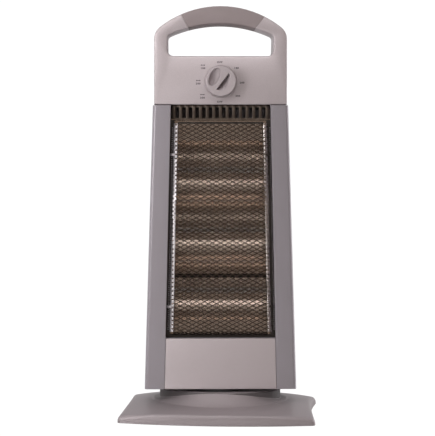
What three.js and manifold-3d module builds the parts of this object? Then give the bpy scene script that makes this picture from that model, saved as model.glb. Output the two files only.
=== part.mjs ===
// Three-bar tower heater on a swinging base, in millimetres, +Z up, front towards -Y.
// The origin is on the floor, on the axis about which the head swings.
import * as THREE from 'three';
import { mergeVertices } from 'three/addons/utils/BufferGeometryUtils.js';
import Module from 'manifold-3d';

const wasm = await Module();
wasm.setup();

// Shared sizes
const gap = 0.3;
const overrun = 2;
const weldTolerance = 1e-4;
const plasticWall = 2.5;
const sheet = 1.2;

// Swing of the head on the base; the slot in the head's floor lies two crank throws from the pivot
const restTurn = 5;
const swingRatio = 3.35;
const throwsToCrank = 2;
const crankPinRadius = 2;
const crankPinBoss = 3.4;
const crankSlotClearance = 1.2;
const crankSweepClearance = 0.7;

// Base: plan, dome and hub
const baseHalfWidth = 139;
const baseCornerDepth = 86;
const baseBow = 15;
const baseWaist = 7.5;
const baseCornerRadius = 7;
const baseCrown = 25.9;
const baseSideFall = 9;
const baseFrontFall = 10.9;
const baseWall = 2.8;
const baseRimLift = 0.6;
const baseDraft = 2.2;
const baseCrease = 1.2;
const hubFootHalfWidth = 97;
const hubFootHalfDepth = 70;
const hubSlopeWidth = 12;
const hubSlopeDepth = 18.5;
const hubTopHalfWidth = hubFootHalfWidth - hubSlopeWidth;
const hubTopHalfDepth = hubFootHalfDepth - hubSlopeDepth;
const hubHeight = 12.9;
const hubTop = baseCrown + hubHeight;
const hubRound = 2;
const hubShoulderFall = 12.2;
const hubSideShare = 0.62;
const domeMiddleShare = 0.5;

// Base plate, feet, ballast and base screws
const plateLift = 3;
const plateThickness = 2;
const plateInset = 9;
const footRadius = 9;
const footInsetX = 28;
const footInsetY = 17;
const footX = baseHalfWidth - footInsetX;
const footY = baseCornerDepth - footInsetY;
const footChamfer = 1;
const ballastInsetX = 46;
const ballastInsetY = 26;
const ballastHalfWidth = baseHalfWidth - ballastInsetX;
const ballastHalfDepth = baseCornerDepth - ballastInsetY;
const ballastThickness = 4.5;
const ballastCorner = 12;
const ballastPostClearance = 7.5;
const baseBossInsetX = 35;
const baseBossInsetY = 42;
const baseBossX = baseHalfWidth - baseBossInsetX;
const baseBossY = baseCornerDepth - baseBossInsetY;
const baseBossRadius = 4;
const baseScrewHeadRadius = 3.6;
const baseScrewHeadHeight = 1.6;
const screwRadius = 1.6;
const screwReach = 4;

// Wear ring, and the crank that turns inside it
const ringInset = 7.1;
const ringWidth = 2.8;
const ringOuter = hubTopHalfDepth - ringInset;
const ringInner = ringOuter - ringWidth;
const crankThrow = (ringInner - crankPinBoss - crankSweepClearance) / (throwsToCrank + 1);
const crankOffset = crankThrow * throwsToCrank;

// Swing motor and crank
const motorRadius = 25;
const motorHeight = 18;
const motorDrop = 6.3;
const motorTop = hubTop - motorDrop;
const motorShaftOffset = 10;
const motorX = crankOffset + motorShaftOffset;
const motorShaftRadius = 3.5;
const motorShaftClearance = 1;
const motorEarHalfWidth = 5;
const motorEarReach = 33;
const motorEarThickness = 1.5;
const motorBossRadius = 4.5;
const motorBossInset = 4;
const motorBossY = motorEarReach - motorBossInset;
const crankLift = 1.5;
const crankUnder = hubTop + crankLift;
const crankThickness = 3;
const crankHubRadius = 6.2;
const crankPinHeight = 6.2;
const crankPinTop = crankUnder + crankThickness + crankPinHeight;

// Head body, floor plate and feet of its walls
const headLift = 4.8;
const headBottom = hubTop + headLift;
const headHeight = 397.9;
const headTop = headBottom + headHeight;
const headTopHalfWidth = 94.4;
const headFlare = 12.4;
const headBottomHalfWidth = headTopHalfWidth + headFlare;
const headFront = -50;
const headSplit = 0;
const headRear = 48;
const headFrontRound = 5;
const headRearRound = 18;
const coverWall = 2;
const floorLift = 2.4;
const floorUnder = headBottom + floorLift;
const floorThickness = 1.5;
const ledgeWidth = 5;
const ledgeInset = 12;
const ledgeFront = headFront + ledgeInset;
const ledgeBack = headSplit - ledgeWidth;

// Pivot post, its washer and nut
const postRadius = 6.5;
const postBore = 4.5;
const postFlangeRadius = 11;
const postFlangeThickness = 2.5;
const postEnd = 4.4;
const washerRadius = 12;
const washerThickness = 1.5;
const nutRadius = 11;
const nutHeight = 7;
const washerLow = floorUnder + floorThickness + gap;
const nutLow = washerLow + washerThickness + gap;
const postTop = nutLow + nutHeight + postEnd;

// Window and lower fascia
const fasciaHeight = 71.8;
const windowTop = headTop - gap;
const windowBottom = headBottom + fasciaHeight;
const columnTopWidth = 24.9;
const windowFlare = 7.8;
const windowTopHalfWidth = headTopHalfWidth - columnTopWidth;
const windowBottomHalfWidth = windowTopHalfWidth + windowFlare;
const windowReturnDepth = 11.5;
const windowReturnBack = headFront + windowReturnDepth;
const windowReturnWall = 2;
const fasciaFlare = 2.3;
const fasciaTopHalfWidth = windowBottomHalfWidth - 2 * gap;
const fasciaBottomHalfWidth = fasciaTopHalfWidth + fasciaFlare;
const fasciaThickness = 2.5;
const fasciaBackWall = 2.2;
const fasciaEdge = 1;
const columnRibInset = 7.9;
const columnRibX = headTopHalfWidth - columnRibInset;
const columnRibHalf = 2;
const columnRibReach = 36;

// Top moulding and its handle
const topLift = 0.8;
const topBottom = headTop + topLift;
const panelHeight = 67.5;
const holeHeight = 45;
const handleHeight = 24.2;
const holeBottom = topBottom + panelHeight;
const holePeak = holeBottom + holeHeight;
const topPeak = holePeak + handleHeight;
const topStep = 1.9;
const topHalfWidth = headTopHalfWidth - topStep;
const topArc = 137;
const topCorner = 21;
const topFront = headFront + topStep;
const topSplitDepth = 28;
const topSplit = topFront + topSplitDepth;
const topRear = headRear - topStep;
const topEdgeRound = 2.4;
const topRearRise = 19.7;
const topRearStraight = topBottom + topRearRise;
const handleDepth = 54;
const handleRear = topFront + handleDepth;
const handleArmWidth = 19;
const holeHalfWidth = topHalfWidth - handleArmWidth;
const holeArc = 175;
const holeTopCorner = 6;
const holeBottomCorner = 8;

// Grip pads: the places on the handle's upper and lower line where the pads' slanted ends lie
const gripSkin = 1.6;
const gripPeakDrop = 15;
const gripHoleDrop = 6.3;
const gripOuterZ = topPeak - gripPeakDrop;
const gripInnerZ = holePeak - gripHoleDrop;
const gripOuterInsetLeft = 39.5;
const gripInnerInsetLeft = 48.5;
const gripOuterInsetRight = 31.5;
const gripInnerInsetRight = 44;
const gripOuterLeft = gripOuterInsetLeft - topHalfWidth;
const gripInnerLeft = gripInnerInsetLeft - topHalfWidth;
const gripOuterRight = topHalfWidth - gripOuterInsetRight;
const gripInnerRight = topHalfWidth - gripInnerInsetRight;
const topBossInset = 12.5;
const topBossX = topHalfWidth - topBossInset;
const topBossLift = 37.7;
const topBossZ = topBottom + topBossLift;
const topBossRadius = 5.5;
const topScrewReach = 12;
const topScrewSeat = 8;

// Reflector: slotted flange at the top, then a trough for each tube
const reflectorSheet = 0.8;
const flangeDepth = 9;
const flangeFront = headFront + flangeDepth;
const flangeRise = 2.1;
const flangeTop = headTop + flangeRise;
const flangeHeight = 20.8;
const flangeStep = flangeTop - flangeHeight;
const ridgeDepth = 20;
const reflectorRidge = headFront + ridgeDepth;
const troughDepth = 27;
const reflectorDeep = reflectorRidge + troughDepth;
const reflectorTuck = 11.4;
const reflectorFoot = windowBottom - reflectorTuck;
const upperStrip = 29.05;
const lowerStrip = 33.25;
const slotCount = 14;
const slotMargin = 4.5;
const slotPitch = 2 * (windowTopHalfWidth - slotMargin) / slotCount;
const slotWidth = 5.3;
const slotDrop = 1.2;
const slotHeight = 15;
const slotBottom = flangeStep + slotDrop;
const slotTop = slotBottom + slotHeight;

// Guard and its clips
const guardRecess = 3.5;
const guardFront = headFront + guardRecess;
const guardSheet = 1;
const guardTopDrop = 6.7;
const guardBottomRise = 8.7;
const guardTop = flangeStep - guardTopDrop;
const guardBottom = windowBottom + guardBottomRise;
const guardSideStrip = 7.3;
const guardWiden = 5.8;
const guardTopHalfWidth = windowTopHalfWidth - guardSideStrip;
const guardBottomHalfWidth = guardTopHalfWidth + guardWiden;
const guardFlare = 5.6;
const guardLip = 5;
const guardBorder = 2;
const guardRim = 4;
const meshPitchX = 26.8;
const meshPitchZ = 14;
const meshStrand = 1.5;
const clipLength = 9;
const clipThickness = 1;
const clipUpperDrop = 44.6;
const clipLowerRise = 34.9;
const clipUpperZ = guardTop - clipUpperDrop;
const clipLowerZ = guardBottom + clipLowerRise;

// Tube brackets, heater tubes, coils and caps
const bracketInset = 11.9;
const bracketX = headTopHalfWidth - bracketInset;
const bracketFrontDepth = 15.8;
const bracketFront = headFront + bracketFrontDepth;
const bracketBehind = 9;
const bracketRear = reflectorDeep + bracketBehind;
const bracketRise = 2.5;
const bracketTop = headTop + bracketRise;
const bracketFlange = 8;
const bracketFootFlange = 16;
const bracketTabHalf = 10;
const reflectorHalfWidth = bracketX - gap;
const tubeNames = ['top', 'middle', 'bottom'];
const tubePitch = (flangeStep - upperStrip - lowerStrip - reflectorFoot) / tubeNames.length;
const tubeHeights = tubeNames.map((_, index) => flangeStep - upperStrip - (index + 1 / 2) * tubePitch);
const tubeStand = 10;
const tubeY = reflectorRidge + tubeStand;
const tubeRadius = 5;
const tubeBore = 4;
const tubeSetback = 2.5;
const tubeHalfLength = bracketX - tubeSetback;
const coilRadius = 2.5;
const capRadius = 9;
const capReach = 8.5;
const capInnerEnd = bracketX - capReach;
const capOuterEnd = bracketX + capReach;
const capFlangeRadius = 10.5;
const capFlangeThickness = 3;
const capNeckBore = 2.8;
const coverScrewInset = 5;
const coverScrewX = bracketX - coverScrewInset;
const coverScrewDrop = 33.5;
const coverScrewTuck = 39.4;
const coverScrewHeights = [windowBottom - coverScrewTuck, headTop - coverScrewDrop];
const coverBossRadius = 5.5;
const counterboreRadius = 4.2;
const counterboreDepth = 30;
const headScrewRadius = 3.6;
const headScrewHeight = 2.4;

// Control and the parts behind it
const shieldThickness = 0.8;
const shieldInset = 8.5;
const shieldHalfWidth = topHalfWidth - shieldInset;
const shieldSetback = 14;
const shieldRear = headRear - shieldSetback;
const switchHalf = 17;
const switchDepth = 24;
const knobLift = 32.2;
const knobZ = topBottom + knobLift;
const knobRadius = 22.8;
const knobHeight = 17.5;
const knobStand = 0.6;
const knobTaper = 1.4;
const knobTurn = 32;
const knobBar = 4.4;
const knobFace = 5;
const scoopShares = { across: 0.275, deep: 0.62, along: 0.61, proud: 0.06 };
const shaftRadius = 3;
const shaftPanelHole = 4.2;
const cutoutRadius = 8;
const cutoutHeight = 8;
const cutoutX = 40;
const cutoutEarHalf = 13;

// Parts at the foot of the head: tip-over switch, terminal block and gland
const tipInset = 48.8;
const tipX = tipInset - headBottomHalfWidth;
const tipY = -6;
const tipHalfWidth = 15;
const tipHalfDepth = 8;
const tipHeight = 38;
const tipPivotDrop = 7.8;
const tipPivotZ = floorUnder + floorThickness + gap + tipHeight - tipPivotDrop;
const tipPinRadius = 1.4;
const tipBobRadius = 6;
const tipBobDrop = 20;
const tipBobZ = tipPivotZ - tipBobDrop;
const terminalInset = 46;
const terminalX = headBottomHalfWidth - terminalInset;
const terminalY = -22;
const terminalTowerInset = 5;
const glandInset = 44;
const glandX = headBottomHalfWidth - glandInset;
const glandRise = 18.4;
const glandZ = headBottom + glandRise;
const glandRadius = 7;
const glandBore = 3.6;
const louvreHalfWidth = 52;
const louvreHeight = 3.4;
const louvrePitch = 10;
const louvreRows = 9;
const lowerLouvreRise = 4.6;
const upperLouvreDrop = 123.5;
const louvreStarts = [windowBottom + lowerLouvreRise, headTop - upperLouvreDrop];

// Small helpers for points, solids and meshes
const point = (x, y) => new THREE.Vector2(x, y);
const radians = THREE.MathUtils.degToRad;
const mix = (from, to, share) => from + (to - from) * share;

function toSolid(geometry) {
  const bare = geometry.clone();
  bare.deleteAttribute('normal');
  bare.deleteAttribute('uv');
  const merged = mergeVertices(bare, weldTolerance);
  const vertProperties = Float32Array.from(merged.attributes.position.array);
  const triVerts = Uint32Array.from(merged.index.array);
  return new wasm.Manifold(new wasm.Mesh({ numProp: 3, vertProperties, triVerts }));
}

function toGeometry(solid) {
  const mesh = solid.getMesh();
  const geometry = new THREE.BufferGeometry();
  geometry.setAttribute('position', new THREE.BufferAttribute(Float32Array.from(mesh.vertProperties), 3));
  geometry.setIndex(new THREE.BufferAttribute(Uint32Array.from(mesh.triVerts), 1));
  return geometry;
}

function joinAll(solids) {
  return solids.reduce((whole, next) => whole.add(next));
}

function cutAll(solid, tools) {
  return tools.reduce((whole, next) => whole.subtract(next), solid);
}

// Boxes and round bars placed by their own corners and ends
function box(low, high) {
  const geometry = new THREE.BoxGeometry(high[0] - low[0], high[1] - low[1], high[2] - low[2]);
  geometry.translate((low[0] + high[0]) / 2, (low[1] + high[1]) / 2, (low[2] + high[2]) / 2);
  return toSolid(geometry);
}

// A turned solid: profile pairs are [radius, height along the axis]
function turned(profile, sides) {
  const points = profile.map(([radius, height]) => point(radius, height));
  return new THREE.LatheGeometry(points, sides);
}

function turnedZ(profile, x, y, sides) {
  return toSolid(turned(profile, sides).rotateX(Math.PI / 2).translate(x, y, 0));
}

function turnedY(profile, x, z, sides) {
  return toSolid(turned(profile, sides).translate(x, 0, z));
}

function turnedX(profile, y, z, sides) {
  return toSolid(turned(profile, sides).rotateZ(-Math.PI / 2).translate(0, y, z));
}

function rod(radius, from, to) {
  return [[0, from], [radius, from], [radius, to], [0, to]];
}

function pipe(bore, radius, from, to) {
  return [[bore, from], [radius, from], [radius, to], [bore, to], [bore, from]];
}

// Flat outlines pushed through a thickness along one axis
function shapeOf(points, holes = []) {
  const shape = new THREE.Shape(points);
  holes.forEach((hole) => shape.holes.push(new THREE.Path(hole)));
  return shape;
}

function plateZ(points, low, high, holes = []) {
  const shape = shapeOf(points, holes);
  const geometry = new THREE.ExtrudeGeometry(shape, { depth: high - low, bevelEnabled: false });
  return toSolid(geometry.translate(0, 0, low));
}

function plateY(points, front, back, holes = []) {
  const shape = shapeOf(points, holes);
  const geometry = new THREE.ExtrudeGeometry(shape, { depth: back - front, bevelEnabled: false });
  return toSolid(geometry.rotateX(Math.PI / 2).translate(0, back, 0));
}

function plateX(points, left, right) {
  const geometry = new THREE.ExtrudeGeometry(shapeOf(points), { depth: right - left, bevelEnabled: false });
  const turn = new THREE.Matrix4().makeBasis(
    new THREE.Vector3(0, 1, 0), new THREE.Vector3(0, 0, 1), new THREE.Vector3(1, 0, 0));
  return toSolid(geometry.applyMatrix4(turn).translate(left, 0, 0));
}

// A plate along Y whose front edges, holes included, are rounded over
function roundedPlateY(points, front, back, holes, round) {
  const shape = shapeOf(points, holes);
  const geometry = new THREE.ExtrudeGeometry(shape, {
    depth: back - front,
    bevelEnabled: true,
    bevelThickness: round,
    bevelSize: round,
    bevelOffset: -round,
    bevelSegments: 2,
  });
  return toSolid(geometry.rotateX(Math.PI / 2).translate(0, back + round, 0));
}

// Points of an arc, and a polygon with each corner rounded by its own radius
function arcPoints(centreX, centreY, radius, from, to, steps) {
  return Array.from({ length: steps + 1 }, (_, step) => {
    const angle = mix(from, to, step / steps);
    return point(centreX + radius * Math.cos(angle), centreY + radius * Math.sin(angle));
  });
}

function roundedCorners(corners, steps = 4) {
  const points = [];
  corners.forEach(([x, y, radius], index) => {
    const corner = point(x, y);
    if (!radius) {
      points.push(corner);
      return;
    }
    const before = corners[(index + corners.length - 1) % corners.length];
    const after = corners[(index + 1) % corners.length];
    const back = point(before[0], before[1]).sub(corner).normalize();
    const ahead = point(after[0], after[1]).sub(corner).normalize();
    const half = Math.acos(back.dot(ahead)) / 2;
    const reach = radius / Math.tan(half);
    const inward = back.clone().add(ahead).normalize();
    const centre = corner.clone().addScaledVector(inward, radius / Math.sin(half));
    const start = corner.clone().addScaledVector(back, reach).sub(centre).angle();
    let sweep = corner.clone().addScaledVector(ahead, reach).sub(centre).angle() - start;
    if (sweep > Math.PI) sweep -= 2 * Math.PI;
    if (sweep < -Math.PI) sweep += 2 * Math.PI;
    points.push(...arcPoints(centre.x, centre.y, radius, start, start + sweep, steps));
  });
  return points;
}

// A closed outline drawn in by a distance, measured square to its edges
function drawnIn(points, distance) {
  return points.map((here, index) => {
    const before = points[(index + points.length - 1) % points.length];
    const after = points[(index + 1) % points.length];
    const first = here.clone().sub(before).normalize();
    const second = after.clone().sub(here).normalize();
    const inward = point(-first.y - second.y, first.x + second.x).normalize();
    const spread = Math.max(inward.dot(point(-first.y, first.x)), Math.SQRT1_2);
    return here.clone().addScaledVector(inward, distance / spread);
  });
}

// A skin through rings of equal point count; a closed skin returns to its first ring
function skin(rings, closed) {
  const count = rings[0].length;
  const positions = rings.flatMap((ring) => ring.flatMap((corner) => [corner.x, corner.y, corner.z]));
  const index = [];
  const last = closed ? rings.length : rings.length - 1;
  for (let row = 0; row < last; row += 1) {
    const next = (row + 1) % rings.length;
    for (let column = 0; column < count; column += 1) {
      const side = (column + 1) % count;
      const [a, b] = [row * count + column, row * count + side];
      const [c, d] = [next * count + side, next * count + column];
      index.push(a, b, c, a, c, d);
    }
  }
  if (!closed) {
    const faces = THREE.ShapeUtils.triangulateShape(rings[0].map((corner) => point(corner.x, corner.y)), []);
    const start = (rings.length - 1) * count;
    faces.forEach(([a, b, c]) => index.push(a, c, b, start + a, start + b, start + c));
  }
  const geometry = new THREE.BufferGeometry();
  geometry.setAttribute('position', new THREE.BufferAttribute(Float32Array.from(positions), 3));
  geometry.setIndex(index);
  return toSolid(geometry);
}

const lifted = (points, height) => points.map((flat) => new THREE.Vector3(flat.x, flat.y, height));

// Materials
const look = (color, roughness, metalness) => new THREE.MeshStandardMaterial({ color, roughness, metalness });
const materials = {
  darkSilver: () => look(0x8f8a92, 0.45, 0.35),
  lightSilver: () => look(0xb9b1b4, 0.4, 0.35),
  baseSilver: () => look(0x928a90, 0.5, 0.2),
  grip: () => look(0x8a8286, 0.6, 0),
  chrome: () => look(0xd8d8d8, 0.15, 1),
  mirror: () => look(0xb8b0a4, 0.18, 1),
  steel: () => look(0xa9abad, 0.4, 0.9),
  rubber: () => look(0x1d1d1e, 0.9, 0),
  black: () => look(0x2a2a2c, 0.6, 0),
  ceramic: () => look(0xe8e2d4, 0.7, 0),
  quartz: () => look(0xe6e2dc, 0.25, 0),
  coil: () => look(0x5d554f, 0.6, 0.7),
  nylon: () => look(0xe4e2dc, 0.5, 0),
  iron: () => look(0x4c4c4e, 0.7, 0.6),
  brass: () => look(0xc2a35a, 0.35, 0.9),
};

const heater = new THREE.Group();
const base = new THREE.Group();
base.rotation.z = -radians(restTurn);
heater.add(base);

function addPiece(parent, name, solid, material) {
  const mesh = new THREE.Mesh(toGeometry(solid), material());
  mesh.name = name;
  parent.add(mesh);
}

// Base plan: front and back edges bow out, the two sides are waisted
const basePlanSteps = 7;
const baseCornerSteps = 2;

function basePlan(cornerRadius) {
  const edges = [];
  const frontY = (x) => -(baseCornerDepth + baseBow * (1 - (x / baseHalfWidth) ** 2));
  const sideX = (y) => baseHalfWidth - baseWaist * (1 - (y / baseCornerDepth) ** 2);
  const cornerX = baseHalfWidth - cornerRadius;
  const cornerY = baseCornerDepth - cornerRadius;
  const edge = (steps, limit, place) => {
    for (let step = 0; step <= steps; step += 1) edges.push(place(mix(-limit, limit, step / steps)));
  };
  const corner = (from, through, to) => {
    const curve = new THREE.QuadraticBezierCurve(from, through, to);
    edges.push(...curve.getPoints(baseCornerSteps).slice(1, -1));
  };
  const tip = (x, y) => point(x * baseHalfWidth, y * baseCornerDepth);
  edge(basePlanSteps, cornerX, (x) => point(x, frontY(x)));
  corner(point(cornerX, frontY(cornerX)), tip(1, -1), point(sideX(cornerY), -cornerY));
  edge(basePlanSteps, cornerY, (y) => point(sideX(y), y));
  corner(point(sideX(cornerY), cornerY), tip(1, 1), point(cornerX, -frontY(cornerX)));
  edge(basePlanSteps, cornerX, (x) => point(-x, -frontY(x)));
  corner(point(-cornerX, -frontY(cornerX)), tip(-1, 1), point(-sideX(cornerY), cornerY));
  edge(basePlanSteps, cornerY, (y) => point(-sideX(y), -y));
  corner(point(-sideX(cornerY), -cornerY), tip(-1, -1), point(-cornerX, frontY(cornerX)));
  return edges;
}

const plan = basePlan(baseCornerRadius);

// The dome falls evenly towards front and back, and late but steeply towards the two sides
function domeHeight(flat) {
  const sideShare = Math.abs(flat.x / baseHalfWidth) ** 3;
  const frontShare = (flat.y / (baseCornerDepth + baseBow)) ** 2;
  return baseCrown - baseSideFall * sideShare - baseFrontFall * frontShare;
}

const domed = (points, drop) => points.map((flat) => {
  return new THREE.Vector3(flat.x, flat.y, domeHeight(flat) - drop);
});
const ellipse = (halfWidth, halfDepth) => plan.map((flat) => {
  const angle = Math.atan2(flat.y / halfDepth, flat.x / halfWidth);
  return point(halfWidth * Math.cos(angle), halfDepth * Math.sin(angle));
});
const between = (outer, inner, share) => outer.map((flat, index) => flat.clone().lerp(inner[index], share));

function baseShell() {
  const crease = drawnIn(plan, baseDraft);
  const foot = ellipse(hubFootHalfWidth, hubFootHalfDepth);
  const hubMiddle = ellipse(
    mix(hubFootHalfWidth, hubTopHalfWidth, hubSideShare),
    mix(hubFootHalfDepth, hubTopHalfDepth, hubSideShare));
  const hubShoulder = ellipse(hubTopHalfWidth + hubRound / 2, hubTopHalfDepth + hubRound / 2);
  const bore = ellipse(postRadius + gap, postRadius + gap);
  const footInner = ellipse(hubFootHalfWidth - baseWall, hubFootHalfDepth - baseWall);
  const hubInner = ellipse(hubTopHalfWidth - baseWall, hubTopHalfDepth - baseWall);
  const shoulderHeight = (flat) => hubTop - hubRound - hubShoulderFall * (flat.x / hubTopHalfWidth) ** 2;
  const collar = ellipse(hubTopHalfWidth + hubRound, hubTopHalfDepth + hubRound);
  const crowned = (points, drop) => points.map((flat) => {
    return new THREE.Vector3(flat.x, flat.y, shoulderHeight(flat) - drop);
  });
  const slope = domed(hubMiddle, 0).map((low, index) => {
    return low.setZ(mix(low.z, shoulderHeight(collar[index]), domeMiddleShare));
  });
  const rings = [
    lifted(plan, baseRimLift),
    domed(drawnIn(plan, baseDraft / 2), baseCrease),
    domed(crease, 0),
    domed(between(crease, foot, domeMiddleShare), 0),
    domed(foot, 0),
    slope,
    crowned(collar, 0),
    lifted(hubShoulder, hubTop - hubRound / 2),
    lifted(ellipse(hubTopHalfWidth - hubRound / 2, hubTopHalfDepth - hubRound / 2), hubTop),
    lifted(bore, hubTop),
    lifted(bore, hubTop - baseWall),
    lifted(hubInner, hubTop - baseWall),
    crowned(hubInner, baseWall),
    domed(footInner, baseWall),
    domed(between(crease, foot, domeMiddleShare), baseWall),
    domed(drawnIn(plan, baseDraft + baseWall), baseWall),
    lifted(drawnIn(plan, baseWall), baseRimLift),
  ];
  const shell = skin(rings, true);
  const bosses = signPairs(baseBossX, baseBossY).map(([x, y]) => {
    const low = plateLift + plateThickness + gap;
    return turnedZ(rod(baseBossRadius, low, domeHeight(point(x, y)) - baseWall / 2), x, y, 10);
  });
  const motorBosses = [-1, 1].map((side) => {
    const low = motorTop + gap;
    return turnedZ(rod(motorBossRadius, low, hubTop - baseWall / 2), motorX, side * motorBossY, 16);
  });
  const holes = signPairs(baseBossX, baseBossY).map(([x, y]) => {
    return turnedZ(rod(screwRadius + gap, 0, plateLift + plateThickness + screwReach + gap), x, y, 8);
  });
  const shaftHole = turnedZ(
    rod(motorShaftRadius + motorShaftClearance, hubTop - baseWall - overrun, hubTop + overrun),
    crankOffset, 0, 20);
  return cutAll(joinAll([shell, ...bosses, ...motorBosses]), [...holes, shaftHole]);
}

function signPairs(x, y) {
  return [[-x, -y], [x, -y], [x, y], [-x, y]];
}

const cornerNames = ['front_left', 'front_right', 'rear_right', 'rear_left'];

function basePlate() {
  const outline = drawnIn(basePlan(baseCornerRadius + plateInset), plateInset);
  const plate = plateZ(outline, plateLift, plateLift + plateThickness);
  const holes = signPairs(baseBossX, baseBossY).map(([x, y]) => {
    return turnedZ(rod(screwRadius + gap, 0, plateLift + plateThickness + overrun), x, y, 8);
  });
  return cutAll(plate, holes);
}

function ballastPlate() {
  const low = plateLift + plateThickness + gap;
  const corners = signPairs(ballastHalfWidth, ballastHalfDepth).map(([x, y]) => [x, y, ballastCorner]);
  const outline = roundedCorners(corners);
  const clear = motorRadius + motorEarHalfWidth;
  const left = -postFlangeRadius - ballastPostClearance;
  const window = [
    point(left, -motorEarReach - gap),
    point(left, motorEarReach + gap),
    point(motorX + clear, motorEarReach + gap),
    point(motorX + clear, -motorEarReach - gap),
  ];
  return plateZ(outline, low, low + ballastThickness, [window]);
}

function swingMotor() {
  const can = turnedZ(rod(motorRadius, motorTop - motorHeight, motorTop), motorX, 0, 24);
  const ears = box(
    [motorX - motorEarHalfWidth, -motorEarReach, motorTop - motorEarThickness],
    [motorX + motorEarHalfWidth, motorEarReach, motorTop]);
  const shaftEnd = crankUnder + crankThickness;
  const shaft = turnedZ(rod(motorShaftRadius, motorTop - overrun, shaftEnd), crankOffset, 0, 20);
  return joinAll([can, ears, shaft]);
}

function crankArm() {
  const restAngle = radians(swingRatio * restTurn);
  const pinX = crankThrow;
  const arm = new THREE.Shape();
  const lean = Math.acos((crankHubRadius - crankPinBoss) / crankThrow);
  const hubArc = arcPoints(0, 0, crankHubRadius, lean, 2 * Math.PI - lean, 20);
  const pinArc = arcPoints(pinX, 0, crankPinBoss, -lean, lean, 10);
  arm.setFromPoints([...hubArc, ...pinArc]);
  const top = crankUnder + crankThickness;
  const body = plateZ(arm.getPoints(), crankUnder, top);
  const pin = turnedZ(rod(crankPinRadius, top - overrun / 2, crankPinTop), pinX, 0, 16);
  const bore = turnedZ(rod(motorShaftRadius + gap, crankUnder - overrun, top + overrun), 0, 0, 20);
  const geometry = toGeometry(joinAll([body, pin]).subtract(bore));
  geometry.rotateZ(restAngle).translate(crankOffset, 0, 0);
  return toSolid(geometry);
}

function pivotPost() {
  const flangeTop = hubTop - baseWall - gap;
  const under = flangeTop - postFlangeThickness;
  return turnedZ([
    [postBore, under], [postFlangeRadius, under], [postFlangeRadius, flangeTop], [postRadius, flangeTop],
    [postRadius, postTop], [postBore, postTop], [postBore, under]], 0, 0, 20);
}

function addBase() {
  addPiece(base, 'base_shell', baseShell(), materials.baseSilver);
  addPiece(base, 'base_plate', basePlate(), materials.black);
  addPiece(base, 'ballast_plate', ballastPlate(), materials.iron);
  signPairs(footX, footY).forEach(([x, y], index) => {
    const top = plateLift - gap;
    const profile = [
      [0, 0], [footRadius - footChamfer, 0], [footRadius, footChamfer], [footRadius, top], [0, top]];
    addPiece(base, `foot_${cornerNames[index]}`, turnedZ(profile, x, y, 16), materials.rubber);
  });
  signPairs(baseBossX, baseBossY).forEach(([x, y], index) => {
    const seat = plateLift - gap;
    const tipZ = plateLift + plateThickness + screwReach;
    const profile = [
      [0, seat - baseScrewHeadHeight], [baseScrewHeadRadius, seat - baseScrewHeadHeight],
      [baseScrewHeadRadius, seat], [screwRadius, seat], [screwRadius, tipZ], [0, tipZ]];
    addPiece(base, `base_screw_${cornerNames[index]}`, turnedZ(profile, x, y, 8), materials.steel);
  });
  addPiece(base, 'swing_motor', swingMotor(), materials.steel);
  addPiece(base, 'swing_crank', crankArm(), materials.nylon);
  addPiece(base, 'pivot_post', pivotPost(), materials.steel);
  const bore = postRadius + gap;
  addPiece(base, 'pivot_washer',
    turnedZ(pipe(bore, washerRadius, washerLow, washerLow + washerThickness), 0, 0, 20), materials.steel);
  addPiece(base, 'pivot_nut',
    cutAll(turnedZ(rod(nutRadius, nutLow, nutLow + nutHeight), 0, 0, 6),
      [turnedZ(rod(bore, nutLow - overrun, nutLow + nutHeight + overrun), 0, 0, 20)]), materials.brass);
  addPiece(base, 'wear_ring',
    turnedZ(pipe(ringInner, ringOuter, hubTop + gap, floorUnder - gap), 0, 0, 32), materials.nylon);
}

// Head: the plan at a height is a rectangle whose width tapers upwards
const headHalfWidth = (height) => {
  const share = (height - headBottom) / (headTop - headBottom);
  return mix(headBottomHalfWidth, headTopHalfWidth, share);
};
const taper = (height, low, high, lowWidth, highWidth) => {
  return mix(lowWidth, highWidth, (height - low) / (high - low));
};

function headSection(height, inset, front, back, frontRound, backRound) {
  const half = headHalfWidth(height) - inset;
  const corners = [
    [-half, front, frontRound], [half, front, frontRound],
    [half, back, backRound], [-half, back, backRound]];
  return lifted(roundedCorners(corners, 5), height);
}

function headLoft(low, high, inset, front, back, frontRound, backRound) {
  const section = (height) => headSection(height, inset, front, back, frontRound, backRound);
  return skin([section(low), section(high)], false);
}

const windowHalf = (height) => {
  return taper(height, windowBottom, windowTop, windowBottomHalfWidth, windowTopHalfWidth);
};
const fasciaHalf = (height) => {
  return taper(height, headBottom, windowBottom, fasciaBottomHalfWidth, fasciaTopHalfWidth);
};

function trapezoid(low, high, lowHalf, highHalf) {
  return [point(-lowHalf, low), point(lowHalf, low), point(highHalf, high), point(-highHalf, high)];
}

function windowOutline(grow, low, high) {
  return trapezoid(low, high, windowHalf(low) + grow, windowHalf(high) + grow);
}

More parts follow.
